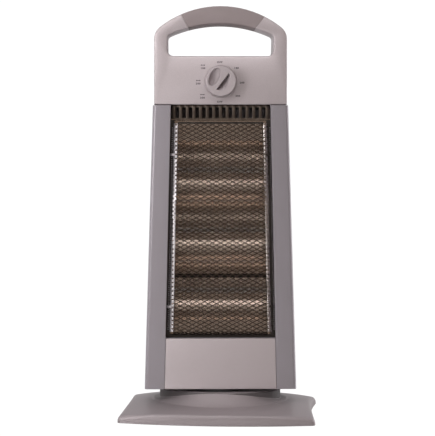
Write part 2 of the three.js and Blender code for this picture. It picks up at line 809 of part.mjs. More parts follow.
function frontFrame() {
  const outer = headLoft(headBottom, headTop, 0, headFront, headSplit, headFrontRound, 0);
  const inner = headLoft(
    headBottom - overrun, headTop + overrun, plasticWall, headFront + plasticWall, headSplit + overrun,
    headFrontRound - plasticWall, 0);
  const frontInner = headFront + plasticWall;
  const tieLow = windowTop - holeBottomCorner;
  const tieHalf = topHalfWidth - plasticWall - 2 * gap;
  const tieFront = topFront + plasticWall + gap;
  const tieBack = tieFront + plasticWall;
  const tie = box([-tieHalf, tieFront, tieLow], [tieHalf, tieBack, topBottom + holeBottomCorner]);
  const tieFoot = box([-tieHalf, frontInner - gap, tieLow], [tieHalf, tieBack, windowTop + gap / 2]);
  const returnLow = windowBottom - windowReturnWall;
  const returnWall = plateY(
    windowOutline(windowReturnWall, returnLow, headTop), frontInner - gap, windowReturnBack);
  const backHalf = headHalfWidth(windowBottom) - plasticWall - gap;
  const backing = box(
    [-backHalf, headFront + fasciaThickness + gap, headBottom + overrun],
    [backHalf, headFront + fasciaThickness + gap + fasciaBackWall, windowBottom]);
  const ribs = [-1, 1].map((side) => box(
    [side * columnRibX - columnRibHalf, frontInner - gap, windowBottom],
    [side * columnRibX + columnRibHalf, bracketFront - gap, clipUpperZ + columnRibReach]));
  const ledges = [-1, 1].map((side) => {
    const outerX = headHalfWidth(floorUnder) - plasticWall / 2;
    const innerX = outerX - ledgeWidth;
    return box(
      [side < 0 ? -outerX : innerX, ledgeFront, headBottom + gap],
      [side < 0 ? -innerX : outerX, ledgeBack, floorUnder - gap]);
  });
  const opening = plateY(
    windowOutline(0, windowBottom, headTop + overrun), headFront - overrun, reflectorRidge);
  const recessOutline = trapezoid(
    headBottom - overrun, windowBottom + gap, fasciaHalf(headBottom) + gap, fasciaHalf(windowBottom) + gap);
  const recess = plateY(recessOutline, headFront - overrun, headFront + fasciaThickness + gap);
  const shell = outer.subtract(inner);
  return cutAll(joinAll([shell, tie, tieFoot, returnWall, backing, ...ribs, ...ledges]), [opening, recess]);
}

function lowerFascia() {
  const outline = trapezoid(headBottom, windowBottom - gap, fasciaHalf(headBottom), fasciaHalf(windowBottom));
  const slab = roundedPlateY(outline, headFront, headFront + fasciaThickness, [], fasciaEdge);
  const keep = box(
    [-headBottomHalfWidth, headFront - overrun, headBottom - overrun],
    [headBottomHalfWidth, headFront + fasciaThickness, windowBottom + overrun]);
  return slab.intersect(keep);
}

function rearCover() {
  const front = headSplit + gap;
  const outer = headLoft(headBottom, headTop, 0, front, headRear, 0, headRearRound);
  const inner = headLoft(
    headBottom - overrun, headTop + overrun, coverWall, front - overrun, headRear - coverWall, 0,
    headRearRound - coverWall);
  const bossFront = bracketRear + sheet + gap;
  const places = coverScrewHeights.flatMap((height) => [[-coverScrewX, height], [coverScrewX, height]]);
  const bossProfile = rod(coverBossRadius, bossFront, headRear - coverWall / 2);
  const bosses = places.map(([x, z]) => turnedY(bossProfile, x, z, 12));
  const shoulder = headRear - counterboreDepth;
  const bores = places.flatMap(([x, z]) => [
    turnedY(rod(counterboreRadius, shoulder, headRear + overrun), x, z, 12),
    turnedY(rod(screwRadius + gap, bossFront - overrun, shoulder + overrun), x, z, 8),
  ]);
  const louvres = louvreStarts.flatMap((start) => Array.from({ length: louvreRows }, (_, row) => {
    const low = start + row * louvrePitch;
    return box(
      [-louvreHalfWidth, headRear - coverWall - overrun, low],
      [louvreHalfWidth, headRear + overrun, low + louvreHeight]);
  }));
  const glandHole = turnedY(
    rod(glandRadius + gap, headRear - coverWall - overrun, headRear + overrun), glandX, glandZ, 24);
  return cutAll(joinAll([outer.subtract(inner), ...bosses]), [...bores, ...louvres, glandHole]);
}

function floorPlate() {
  const half = headHalfWidth(floorUnder + floorThickness) - plasticWall - gap;
  const front = headFront + fasciaThickness + fasciaBackWall + 2 * gap;
  const back = headRear - coverWall - gap;
  const outline = roundedCorners([
    [-half, front, 0], [half, front, 0], [half, back, headRearRound], [-half, back, headRearRound]]);
  const slotHalf = crankPinRadius + crankSlotClearance;
  const slot = [
    ...arcPoints(crankOffset + crankThrow, 0, slotHalf, -Math.PI / 2, Math.PI / 2, 8),
    ...arcPoints(crankOffset - crankThrow, 0, slotHalf, Math.PI / 2, 1.5 * Math.PI, 8)];
  const hole = arcPoints(0, 0, postRadius + gap, 0, 2 * Math.PI, 28).slice(1);
  return plateZ(outline, floorUnder, floorUnder + floorThickness, [slot.reverse(), hole.reverse()]);
}

// Top moulding: an arched outline with the handle opening through it
function archOutline(halfWidth, bottom, peak, arc, topRound, bottomRound, inset) {
  const [half, radius, round] = [halfWidth - inset, arc - inset, topRound - inset];
  const centre = peak - arc;
  const roundX = half - round;
  const roundZ = centre + Math.sqrt((radius - round) ** 2 - roundX ** 2);
  const meet = Math.atan2(roundZ - centre, roundX);
  const low = bottom + inset;
  const foot = bottomRound - inset;
  const right = [
    ...(bottomRound ? arcPoints(half - foot, low + foot, foot, -Math.PI / 2, 0, 4) : [point(half, low)]),
    ...arcPoints(roundX, roundZ, round, 0, meet, 5),
  ];
  const crown = arcPoints(0, centre, radius, meet, Math.PI - meet, 20).slice(1, -1);
  const left = right.map((flat) => point(-flat.x, flat.y)).reverse();
  return [...right, ...crown, ...left];
}

const topOutline = (inset) => archOutline(topHalfWidth, topBottom, topPeak, topArc, topCorner, 0, inset);
const holeOutline = (grow) => archOutline(
  holeHalfWidth, holeBottom, holePeak, holeArc, holeTopCorner, holeBottomCorner, -grow);

// The back of the moulding leans forward from the shoulder to the handle
function rearLean(inset) {
  const curve = new THREE.CubicBezierCurve(
    point(topRear, topRearStraight), point(topRear, holeBottom), point(handleRear, holeBottom),
    point(handleRear, topPeak + overrun));
  const low = topBottom - 2 * overrun;
  const outline = [
    point(topFront, low), point(topRear, low), ...curve.getPoints(14), point(topFront, topPeak + overrun)];
  return plateX(drawnIn(outline, inset), -topHalfWidth - overrun, topHalfWidth + overrun);
}

function gripZone(grow, front, back) {
  const slopeLeft = (gripOuterLeft - gripInnerLeft) / (gripOuterZ - gripInnerZ);
  const slopeRight = (gripOuterRight - gripInnerRight) / (gripOuterZ - gripInnerZ);
  const low = holeBottom + holePeak - gripInnerZ;
  const high = topPeak + overrun;
  const leftAt = (z) => gripInnerLeft + (z - gripInnerZ) * slopeLeft - grow;
  const rightAt = (z) => gripInnerRight + (z - gripInnerZ) * slopeRight + grow;
  const outline = [
    point(leftAt(low), low), point(rightAt(low), low), point(rightAt(high), high), point(leftAt(high), high)];
  return plateY(outline, front, back);
}

function topForm(inset) {
  const whole = roundedPlateY(
    topOutline(inset), topFront + inset, topRear - inset, [holeOutline(inset)],
    Math.max(topEdgeRound - inset, gap));
  return whole.intersect(rearLean(inset));
}

const topWide = topHalfWidth + overrun;
const topSlice = (front, back) => box(
  [-topWide, front, topBottom - overrun], [topWide, back, topPeak + overrun]);
const frontHalf = (back) => topSlice(topFront - overrun, back);
const rearHalf = (front) => topSlice(front, topRear + overrun);

function topCavity(inset) {
  const low = topBottom - overrun;
  const outline = topOutline(inset).map((flat) => point(flat.x, Math.max(flat.y, low)));
  outline[0].y = low;
  outline[outline.length - 1].y = low;
  const whole = plateY(outline, topFront + inset, topRear - inset, [holeOutline(inset)]);
  return whole.intersect(rearLean(inset));
}

function topShellBlank() {
  const [front, back] = [topFront - overrun, topRear + overrun];
  const core = topForm(gripSkin + gap).intersect(gripZone(gap + gripSkin, front, back));
  const outside = topForm(0).subtract(gripZone(gap, front, back)).add(core);
  const wide = topCavity(plasticWall).subtract(gripZone(plasticWall, front, back));
  const narrow = topCavity(gripSkin + gap + plasticWall);
  const inside = wide.add(narrow.intersect(gripZone(plasticWall + overrun / 2, front, back)));
  return outside.subtract(inside);
}

function topFrontShell(blank) {
  const bosses = [-1, 1].map((side) => {
    const profile = rod(topBossRadius, topFront + plasticWall / 2, topSplit - gap / 2);
    return turnedY(profile, side * topBossX, topBossZ, 12);
  });
  const bores = [-1, 1].map((side) => {
    const deep = topSplit - topScrewReach;
    return turnedY(rod(screwRadius + gap, deep, topSplit + overrun), side * topBossX, topBossZ, 8);
  });
  const shaftHole = turnedY(
    rod(shaftPanelHole, topFront - overrun, topFront + plasticWall + overrun), 0, knobZ, 20);
  const half = blank.intersect(frontHalf(topSplit - gap / 2));
  return cutAll(joinAll([half, ...bosses]), [...bores, shaftHole]);
}

function topRearShell(blank) {
  const front = topSplit + gap / 2;
  const shoulder = front + topScrewSeat;
  const posts = [-1, 1].map((side) => {
    return turnedY(rod(topBossRadius, front, topRear), side * topBossX, topBossZ, 12);
  });
  const bores = [-1, 1].flatMap((side) => [
    turnedY(rod(counterboreRadius, shoulder, topRear + overrun), side * topBossX, topBossZ, 12),
    turnedY(rod(screwRadius + gap, front - overrun, shoulder + overrun), side * topBossX, topBossZ, 8),
  ]);
  const half = blank.intersect(rearHalf(front));
  return cutAll(joinAll([half, ...posts.map((post) => post.intersect(rearLean(0)))]), bores);
}

function handleGrip(keep) {
  const zone = gripZone(0, topFront - overrun, topRear + overrun);
  return topForm(0).subtract(topForm(gripSkin)).intersect(zone).intersect(keep);
}

// Reflector: one bent sheet with a slotted upper flange and a round trough behind each tube
function stripOutline(line, thickness) {
  const offset = line.map((here, index) => {
    const first = index ? here.clone().sub(line[index - 1]).normalize() : null;
    const second = index < line.length - 1 ? line[index + 1].clone().sub(here).normalize() : null;
    const ahead = (first ?? second).clone().add(second ?? first).normalize();
    const side = point(-ahead.y, ahead.x);
    const spread = side.dot(point(-(first ?? second).y, (first ?? second).x));
    return here.clone().addScaledVector(side, thickness / spread);
  });
  return [...line, ...offset.reverse()];
}

function reflectorLine() {
  const half = tubePitch / 2 - reflectorSheet;
  const depth = reflectorDeep - reflectorRidge;
  const radius = (half ** 2 + depth ** 2) / (2 * depth);
  const reach = Math.asin(half / radius);
  const line = [
    point(flangeFront, flangeTop), point(flangeFront, flangeStep), point(reflectorRidge, flangeStep)];
  tubeHeights.forEach((height) => {
    line.push(...arcPoints(reflectorDeep - radius, height, radius, reach, -reach, 10));
  });
  line.push(point(reflectorRidge, reflectorFoot));
  return line;
}

function reflectorSheetSolid() {
  const outline = stripOutline(reflectorLine(), reflectorSheet);
  const body = plateX(outline, -reflectorHalfWidth, reflectorHalfWidth);
  const flangeHalf = windowTopHalfWidth - 2 * gap;
  const notches = [-1, 1].map((side) => {
    const [inner, outer] = [flangeHalf, reflectorHalfWidth + overrun];
    return box(
      [side < 0 ? -outer : inner, flangeFront - overrun, flangeStep - overrun],
      [side < 0 ? -inner : outer, windowReturnBack + gap, flangeTop + overrun]);
  });
  const slots = Array.from({ length: slotCount }, (_, index) => {
    const x = (index - (slotCount - 1) / 2) * slotPitch;
    return box(
      [x - slotWidth / 2, flangeFront - overrun, slotBottom],
      [x + slotWidth / 2, flangeFront + reflectorSheet + overrun, slotTop]);
  });
  return cutAll(body, [...slots, ...notches]);
}

// Guard: an expanded-metal face in a pan whose sides splay back to a flat lip
const guardHalf = (height) => taper(height, guardBottom, guardTop, guardBottomHalfWidth, guardTopHalfWidth);

const guardLipFront = windowReturnBack + gap;
const guardBack = guardLipFront + guardSheet;

// The lip is full on three sides and short at the top, under the reflector's flange
function guardRing(grow, y) {
  const topGrow = Math.min(grow, guardFlare + gap);
  const [low, high] = [guardBottom - grow, guardTop + topGrow];
  return trapezoid(low, high, guardHalf(guardBottom) + grow, guardHalf(guardTop) + grow)
    .map((flat) => new THREE.Vector3(flat.x, y, flat.y));
}

function guardPan() {
  const lipGrow = guardFlare + guardLip;
  const rings = [
    guardRing(-guardRim, guardFront), guardRing(0, guardFront), guardRing(guardFlare, guardLipFront),
    guardRing(lipGrow, guardLipFront), guardRing(lipGrow, guardBack),
    guardRing(guardFlare - guardSheet, guardBack),
    guardRing(-guardSheet, guardFront + guardSheet), guardRing(-guardRim, guardFront + guardSheet),
  ];
  return skin(rings.reverse(), true);
}

// Staggered diamond holes over the whole face; those at its edge are cut by the pan's border
function meshHoles() {
  const halfX = meshPitchX / 2;
  const halfZ = meshPitchZ / 2;
  const reach = (halfX * halfZ) / Math.hypot(halfX, halfZ);
  const openShare = (reach - meshStrand / 2) / reach;
  const [sideX, sideZ] = [halfX * openShare, halfZ * openShare];
  const middle = (guardTop + guardBottom) / 2;
  const rows = Math.ceil((guardTop - middle) / halfZ);
  const columns = Math.ceil(guardBottomHalfWidth / halfX);
  const holes = [];
  for (let row = -rows; row <= rows; row += 1) {
    for (let column = -columns; column <= columns; column += 1) {
      const [x, z] = [column * halfX, middle + row * halfZ];
      const touches = Math.abs(x) - sideX < guardHalf(z) - guardBorder;
      if ((row + column) % 2 === 0 && touches) {
        holes.push([point(x, z - sideZ), point(x - sideX, z), point(x, z + sideZ), point(x + sideX, z)]);
      }
    }
  }
  return holes;
}

function guardFace(inset, front, back) {
  const outline = trapezoid(
    guardBottom + inset, guardTop - inset, guardHalf(guardBottom) - inset, guardHalf(guardTop) - inset);
  return plateY(outline, front, back);
}

function guard() {
  const wide = guardBottomHalfWidth + meshPitchX;
  const blank = trapezoid(guardBottom - meshPitchZ, guardTop + meshPitchZ, wide, wide);
  const net = plateY(blank, guardFront, guardFront + guardSheet, meshHoles());
  const face = net.intersect(guardFace(guardBorder / 2, guardFront - overrun, guardFront + overrun));
  const opening = guardFace(guardBorder, guardFront - overrun, guardFront + overrun);
  return guardPan().subtract(opening).add(face);
}

// A clip hooks over the window's return wall and holds the guard's lip from behind
function guardClip(side, height) {
  const wallInner = windowHalf(height);
  const lipBack = guardBack + gap;
  const from = wallInner - guardLip / 2;
  const to = wallInner + windowReturnWall + gap + clipThickness;
  const back = box([from, lipBack, -clipLength / 2], [to, lipBack + clipThickness, clipLength / 2]);
  const hookX = wallInner + windowReturnWall + gap + 2 * gap;
  const hook = box(
    [hookX, windowReturnBack - guardLip, -clipLength / 2],
    [hookX + clipThickness, lipBack + clipThickness, clipLength / 2]);
  const geometry = toGeometry(back.add(hook));
  if (side < 0) geometry.rotateZ(Math.PI).translate(0, 2 * lipBack + clipThickness, 0);
  geometry.translate(0, 0, height);
  return toSolid(geometry);
}

function addFaces() {
  addPiece(heater, 'front_frame', frontFrame(), materials.darkSilver);
  addPiece(heater, 'lower_fascia', lowerFascia(), materials.lightSilver);
  addPiece(heater, 'rear_cover', rearCover(), materials.darkSilver);
  addPiece(heater, 'floor_plate', floorPlate(), materials.steel);
  const blank = topShellBlank();
  addPiece(heater, 'top_front_shell', topFrontShell(blank), materials.lightSilver);
  addPiece(heater, 'top_rear_shell', topRearShell(blank), materials.lightSilver);
  addPiece(heater, 'handle_grip_front', handleGrip(frontHalf(topSplit - gap / 2)), materials.grip);
  addPiece(heater, 'handle_grip_rear', handleGrip(rearHalf(topSplit + gap / 2)), materials.grip);
  addPiece(heater, 'reflector', reflectorSheetSolid(), materials.mirror);
  addPiece(heater, 'guard', guard(), materials.chrome);
}

// Tube brackets: an upright cheek with bent flanges, holes for the caps and a foot on the floor plate
function tubeBracket(side) {
  const foot = floorUnder + floorThickness + gap;
  const cheek = box([bracketX, bracketFront, foot], [bracketX + sheet, bracketRear, bracketTop]);
  const flange = box(
    [bracketX, bracketFront, windowBottom], [bracketX + bracketFlange, bracketFront + sheet, headTop]);
  const footFlange = box(
    [bracketX, bracketFront, foot], [bracketX + bracketFootFlange, bracketRear, foot + sheet]);
  const tabs = coverScrewHeights.map((height) => box(
    [coverScrewX - coverBossRadius, bracketRear, height - bracketTabHalf],
    [bracketX + sheet, bracketRear + sheet, height + bracketTabHalf]));
  const holes = tubeHeights.map((height) => turnedX(
    rod(capRadius + gap, bracketX - overrun, bracketX + sheet + overrun), tubeY, height, 14));
  const screwHoles = coverScrewHeights.map((height) => turnedY(
    rod(screwRadius + gap, bracketRear - overrun, bracketRear + sheet + overrun), coverScrewX, height, 8));
  const whole = cutAll(joinAll([cheek, flange, footFlange, ...tabs]), [...holes, ...screwHoles]);
  return side > 0 ? whole : mirroredX(whole);
}

function mirroredX(solid) {
  const geometry = toGeometry(solid).scale(-1, 1, 1);
  const index = geometry.index.array;
  for (let start = 0; start < index.length; start += 3) {
    [index[start + 1], index[start + 2]] = [index[start + 2], index[start + 1]];
  }
  return toSolid(geometry);
}

function endCap(height, side) {
  const flangeEnd = bracketX - gap;
  const boreEnd = tubeHalfLength + gap;
  const profile = [
    [tubeRadius + gap, capInnerEnd], [capRadius, capInnerEnd], [capRadius, flangeEnd - capFlangeThickness],
    [capFlangeRadius, flangeEnd - capFlangeThickness], [capFlangeRadius, flangeEnd], [capRadius, flangeEnd],
    [capRadius, capOuterEnd], [0, capOuterEnd], [0, boreEnd + screwReach], [capNeckBore, boreEnd + screwReach],
    [capNeckBore, boreEnd], [tubeRadius + gap, boreEnd], [tubeRadius + gap, capInnerEnd]];
  const cap = turnedX(profile, tubeY, height, 12);
  return side > 0 ? cap : mirroredX(cap);
}

function addHeat() {
  tubeHeights.forEach((height, index) => {
    const name = tubeNames[index];
    const tube = turnedX(pipe(tubeBore, tubeRadius, -tubeHalfLength, tubeHalfLength), tubeY, height, 16);
    addPiece(heater, `quartz_tube_${name}`, tube, materials.quartz);
    const coilEnd = tubeHalfLength + screwReach;
    addPiece(heater, `heating_coil_${name}`,
      turnedX(rod(coilRadius, -coilEnd, coilEnd), tubeY, height, 8), materials.coil);
    addPiece(heater, `end_cap_${name}_left`, endCap(height, -1), materials.ceramic);
    addPiece(heater, `end_cap_${name}_right`, endCap(height, 1), materials.ceramic);
  });
  [[-1, 'left'], [1, 'right']].forEach(([side, name]) => {
    addPiece(heater, `tube_bracket_${name}`, tubeBracket(side), materials.steel);
    addPiece(heater, `guard_clip_upper_${name}`, guardClip(side, clipUpperZ), materials.steel);
    addPiece(heater, `guard_clip_lower_${name}`, guardClip(side, clipLowerZ), materials.steel);
  });
}

// Control: knob with two scooped hollows, its shaft and the switch behind the panel
function knob() {
  const back = topFront - knobStand;
  const front = back - knobHeight;
  const round = knobTaper;
  const profile = [
    [0, front], [knobRadius - knobTaper - round, front], [knobRadius - knobTaper, front + round],
    [knobRadius, back - round], [knobRadius, back], [shaftRadius + gap, back],
    [shaftRadius + gap, front + knobFace], [0, front + knobFace]];
  const body = toSolid(turned(profile, 40));
  const scoops = [-1, 1].map((side) => {
    const across = knobRadius * scoopShares.across;
    const hollow = new THREE.SphereGeometry(1, 20, 12);
    hollow.scale(across, knobHeight * scoopShares.deep, knobRadius * scoopShares.along);
    hollow.translate(side * (knobBar + across), front - knobHeight * scoopShares.proud, 0);
    return toSolid(hollow);
  });
  const geometry = toGeometry(cutAll(body, scoops));
  geometry.rotateY(radians(knobTurn)).translate(0, 0, knobZ);
  return toSolid(geometry);
}

function rotarySwitch() {
  const front = topFront + plasticWall + gap;
  const back = front + switchDepth;
  const body = box([-switchHalf, front, knobZ - switchHalf], [switchHalf, back, knobZ + switchHalf]);
  const bore = turnedY(rod(shaftRadius + gap, front - overrun, front + switchDepth / 2), 0, knobZ, 20);
  return body.subtract(bore);
}

function addControl() {
  const knobFront = topFront - knobStand - knobHeight;
  const shaftFront = knobFront + knobFace + gap;
  const shaftBack = topFront + plasticWall + switchDepth / 2;
  addPiece(heater, 'control_knob', knob(), materials.lightSilver);
  const shaft = turnedY(rod(shaftRadius, shaftFront, shaftBack), 0, knobZ, 20);
  addPiece(heater, 'switch_shaft', shaft, materials.steel);
  addPiece(heater, 'rotary_switch', rotarySwitch(), materials.black);
  const shieldLow = bracketTop + gap;
  const shieldFront = topFront + 2 * plasticWall + 2 * gap;
  addPiece(heater, 'heat_shield', box(
    [-shieldHalfWidth, shieldFront, shieldLow],
    [shieldHalfWidth, shieldRear, shieldLow + shieldThickness]), materials.steel);
  const seat = shieldLow + shieldThickness + gap;
  const ears = box(
    [cutoutX - cutoutEarHalf, -cutoutRadius / 2, seat],
    [cutoutX + cutoutEarHalf, cutoutRadius / 2, seat + sheet]);
  const can = turnedZ(rod(cutoutRadius, seat, seat + cutoutHeight), cutoutX, 0, 24);
  addPiece(heater, 'thermal_cutout', ears.add(can), materials.steel);
}

// Tip-over switch: a frame with two cheeks, and a bob that hangs between them
function tipSwitchFrame() {
  const floor = floorUnder + floorThickness + gap;
  const [left, right] = [tipX - tipHalfWidth, tipX + tipHalfWidth];
  const [front, back] = [tipY - tipHalfDepth, tipY + tipHalfDepth];
  const sole = box([left, front, floor], [right, back, floor + sheet]);
  const top = floor + tipHeight;
  const cheeks = [front, back - sheet].map((y) => box([left, y, floor], [right, y + sheet, top]));
  const pinHole = turnedY(rod(tipPinRadius + gap, front - overrun, back + overrun), tipX, tipPivotZ, 16);
  return joinAll([sole, ...cheeks]).subtract(pinHole);
}

function tipPendulum() {
  const reach = tipHalfDepth;
  const pin = turnedY(rod(tipPinRadius, tipY - reach, tipY + reach), tipX, tipPivotZ, 10);
  const stem = box([tipX - sheet, tipY - sheet, tipBobZ], [tipX + sheet, tipY + sheet, tipPivotZ]);
  const bob = toSolid(new THREE.SphereGeometry(tipBobRadius, 12, 8).translate(tipX, tipY, tipBobZ));
  return joinAll([pin, stem, bob]);
}

function terminalBlock() {
  const floor = floorUnder + floorThickness + gap;
  const body = box(
    [terminalX - tipHalfWidth, terminalY - tipHalfDepth, floor],
    [terminalX + tipHalfWidth, terminalY + tipHalfDepth, floor + tipHalfDepth]);
  const towers = [-1, 0, 1].map((step) => turnedZ(
    rod(coilRadius + sheet, floor + sheet, floor + tipHalfDepth + screwReach),
    terminalX + step * (tipHalfWidth - terminalTowerInset), terminalY, 16));
  return joinAll([body, ...towers]);
}

function cordGland() {
  const inner = headRear - coverWall;
  const profile = [
    [glandBore, inner - gap - sheet], [glandRadius + sheet, inner - gap - sheet],
    [glandRadius + sheet, inner - gap],
    [glandRadius, inner - gap], [glandRadius, headRear + gap], [glandRadius + plasticWall, headRear + gap],
    [glandRadius + sheet, headRear + screwReach], [glandBore, headRear + screwReach],
    [glandBore, inner - gap - sheet]];
  return turnedY(profile, glandX, glandZ, 16);
}

function sunkScrew(x, z, seat, tip) {
  return turnedY([
    [0, tip], [screwRadius, tip], [screwRadius, seat], [headScrewRadius, seat],
    [headScrewRadius, seat + headScrewHeight], [0, seat + headScrewHeight]], x, z, 8);
}

function addInside() {
  addPiece(heater, 'tip_switch_frame', tipSwitchFrame(), materials.nylon);
  addPiece(heater, 'tip_pendulum', tipPendulum(), materials.steel);
  addPiece(heater, 'terminal_block', terminalBlock(), materials.nylon);
  addPiece(heater, 'cord_gland', cordGland(), materials.black);
  const coverSeat = headRear - counterboreDepth + gap;
  const coverTip = bracketRear - screwReach;
  const topSeat = topSplit + gap / 2 + topScrewSeat + gap;
  const topTip = topSplit + screwReach - topScrewReach;
  [[-1, 'left'], [1, 'right']].forEach(([side, name]) => {
    addPiece(heater, `cover_screw_lower_${name}`,
      sunkScrew(side * coverScrewX, coverScrewHeights[0], coverSeat, coverTip), materials.steel);
    addPiece(heater, `cover_screw_upper_${name}`,
      sunkScrew(side * coverScrewX, coverScrewHeights[1], coverSeat, coverTip), materials.steel);
    addPiece(heater, `handle_screw_${name}`,
      sunkScrew(side * topBossX, topBossZ, topSeat, topTip), materials.steel);
  });
}

addBase();
addFaces();
addHeat();
addControl();
addInside();

export default heater;
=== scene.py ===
import math

import bpy
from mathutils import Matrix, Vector


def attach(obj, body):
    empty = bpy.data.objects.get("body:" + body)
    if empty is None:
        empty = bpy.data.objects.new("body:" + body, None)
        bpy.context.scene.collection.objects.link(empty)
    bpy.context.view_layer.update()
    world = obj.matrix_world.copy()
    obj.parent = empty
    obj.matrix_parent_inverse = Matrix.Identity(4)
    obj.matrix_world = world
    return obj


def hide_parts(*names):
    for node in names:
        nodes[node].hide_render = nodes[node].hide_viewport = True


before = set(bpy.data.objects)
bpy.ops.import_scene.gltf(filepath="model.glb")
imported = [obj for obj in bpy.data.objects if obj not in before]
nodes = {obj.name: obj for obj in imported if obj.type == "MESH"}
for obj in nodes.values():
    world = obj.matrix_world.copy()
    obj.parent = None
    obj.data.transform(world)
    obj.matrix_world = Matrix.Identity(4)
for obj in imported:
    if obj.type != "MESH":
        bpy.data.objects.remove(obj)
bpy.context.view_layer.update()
MM = 0.001


# Colours are given as the eye sees them, from 0 to 255, and turned into light values
def light_value(value):
    value /= 255
    return value / 12.92 if value <= 0.04045 else ((value + 0.055) / 1.055) ** 2.4


def seen(red, green, blue):
    return (light_value(red), light_value(green), light_value(blue), 1)


def grey(value):
    return (value, value, value, 1)


# Shader helpers
NOISE_LOW, NOISE_HIGH = 0.25, 0.75
RAMP_LOW, RAMP_HIGH = 0.3, 0.7
RELIEF_DEPTH = 0.0002
EDGE_SAMPLES = 4


def noise(tree, coordinates, scale, detail, stretch=None):
    source = coordinates
    if stretch:
        mapping = tree.nodes.new("ShaderNodeMapping")
        mapping.inputs["Scale"].default_value = stretch
        tree.links.new(source, mapping.inputs["Vector"])
        source = mapping.outputs["Vector"]
    node = tree.nodes.new("ShaderNodeTexNoise")
    node.inputs["Scale"].default_value = scale
    node.inputs["Detail"].default_value = detail
    tree.links.new(source, node.inputs["Vector"])
    return node.outputs["Fac"]


def ramp(tree, factor, low, high, start=RAMP_LOW, end=RAMP_HIGH):
    node = tree.nodes.new("ShaderNodeValToRGB")
    node.color_ramp.elements[0].position = start
    node.color_ramp.elements[0].color = low
    node.color_ramp.elements[1].position = end
    node.color_ramp.elements[1].color = high
    tree.links.new(factor, node.inputs["Fac"])
    return node.outputs["Color"]


def spread(tree, factor, low, high, start=NOISE_LOW, end=NOISE_HIGH):
    node = tree.nodes.new("ShaderNodeMapRange")
    node.inputs["From Min"].default_value = start
    node.inputs["From Max"].default_value = end
    node.inputs["To Min"].default_value = low
    node.inputs["To Max"].default_value = high
    tree.links.new(factor, node.inputs["Value"])
    return node.outputs["Result"]


def bump(tree, height, strength, before=None):
    node = tree.nodes.new("ShaderNodeBump")
    node.inputs["Strength"].default_value = strength
    node.inputs["Distance"].default_value = RELIEF_DEPTH
    tree.links.new(height, node.inputs["Height"])
    if before is not None:
        tree.links.new(before, node.inputs["Normal"])
    return node.outputs["Normal"]


def softened(tree, radius):
    node = tree.nodes.new("ShaderNodeBevel")
    node.samples = EDGE_SAMPLES
    node.inputs["Radius"].default_value = radius
    return node.outputs["Normal"]


def white_to_camera(tree, kind, plain, surface_input):
    """The camera sees white here, and all other rays see the plain shader."""
    white = tree.nodes.new(kind)
    white.inputs["Color"].default_value = grey(1)
    white.inputs["Strength"].default_value = CAMERA_WHITE
    path = tree.nodes.new("ShaderNodeLightPath")
    both = tree.nodes.new("ShaderNodeMixShader")
    tree.links.new(path.outputs["Is Camera Ray"], both.inputs["Fac"])
    tree.links.new(plain, both.inputs[1])
    tree.links.new(white.outputs[0], both.inputs[2])
    tree.links.new(both.outputs["Shader"], surface_input)


# Camera: place in metres, turn to the right and downwards in degrees, lens in millimetres
CAMERA_PLACE = (-0.035, -2.0509, 0.392)
CAMERA_YAW, CAMERA_PITCH = 0.877, 3.0735
CAMERA_LENS = 118.5
CAMERA_REACH = 50


def add_camera():
    data = bpy.data.cameras.new("camera")
    data.lens = CAMERA_LENS
    data.clip_end = CAMERA_REACH
    camera = bpy.data.objects.new("camera", data)
    bpy.context.collection.objects.link(camera)
    camera.location = CAMERA_PLACE
    yaw, pitch = math.radians(CAMERA_YAW), math.radians(CAMERA_PITCH)
    ahead = Vector((math.sin(yaw) * math.cos(pitch), math.cos(yaw) * math.cos(pitch), -math.sin(pitch)))
    camera.rotation_mode = "QUATERNION"
    camera.rotation_quaternion = ahead.to_track_quat("-Z", "Y")
    bpy.context.scene.camera = camera


# Lights: place, target, width and height in metres, and power in watts
LIGHTS = {
    "near": ((-0.55, -0.5, 0.42), (0, 0, 0.4), 0.25, 0.46, 1.3),
    "key": ((-0.85, -1.0, 0.8), (0, 0, 0.33), 0.4, 0.9, 6),
    "top": ((-0.1, -0.5, 1.6), (0, 0, 0.2), 1.2, 0.7, 3.2),
    "front": ((0.0, -4.0, 3.31), (0, 0, 0.3), 2.8, 1.45, 56),
    "rim_left": ((-1.1, 0.35, 0.45), (0, 0, 0.3), 0.5, 1.0, 2),
    "rim_right": ((1.1, 0.35, 0.45), (0, 0, 0.3), 0.5, 1.0, 6.5),
}


def add_light(name, place, target, width, height, power):
    data = bpy.data.lights.new(name, "AREA")
    data.shape = "RECTANGLE"
    data.size, data.size_y = width, height
    data.energy = power
    light = bpy.data.objects.new(name, data)
    bpy.context.collection.objects.link(light)
    light.location = place
    light.rotation_mode = "QUATERNION"
    light.rotation_quaternion = (Vector(target) - Vector(place)).to_track_quat("-Z", "Y")


# Room: white to the camera, and for all other rays a pale backdrop that is dim and warm in front
ROOM_LIGHT = 0.72
ROOM_FRONT = (0.3, 0.25, 0.215, 1)
ROOM_BACK = grey(0.85)
ROOM_FRONT_END, ROOM_BACK_START = 0.35, 0.62
CAMERA_WHITE = 1.05


def add_room():
    world = bpy.data.worlds.new("studio")
    bpy.context.scene.world = world
    world.use_nodes = True
    tree = world.node_tree
    room = tree.nodes["Background"]
    place = tree.nodes.new("ShaderNodeTexCoord")
    parts = tree.nodes.new("ShaderNodeSeparateXYZ")
    tree.links.new(place.outputs["Generated"], parts.inputs["Vector"])
    depth = spread(tree, parts.outputs["Y"], 0, 1, -1, 1)
    colour = ramp(tree, depth, ROOM_FRONT, ROOM_BACK, ROOM_FRONT_END, ROOM_BACK_START)
    tree.links.new(colour, room.inputs["Color"])
    room.inputs["Strength"].default_value = ROOM_LIGHT
    white_to_camera(tree, "ShaderNodeBackground", room.outputs["Background"],
                    tree.nodes["World Output"].inputs["Surface"])


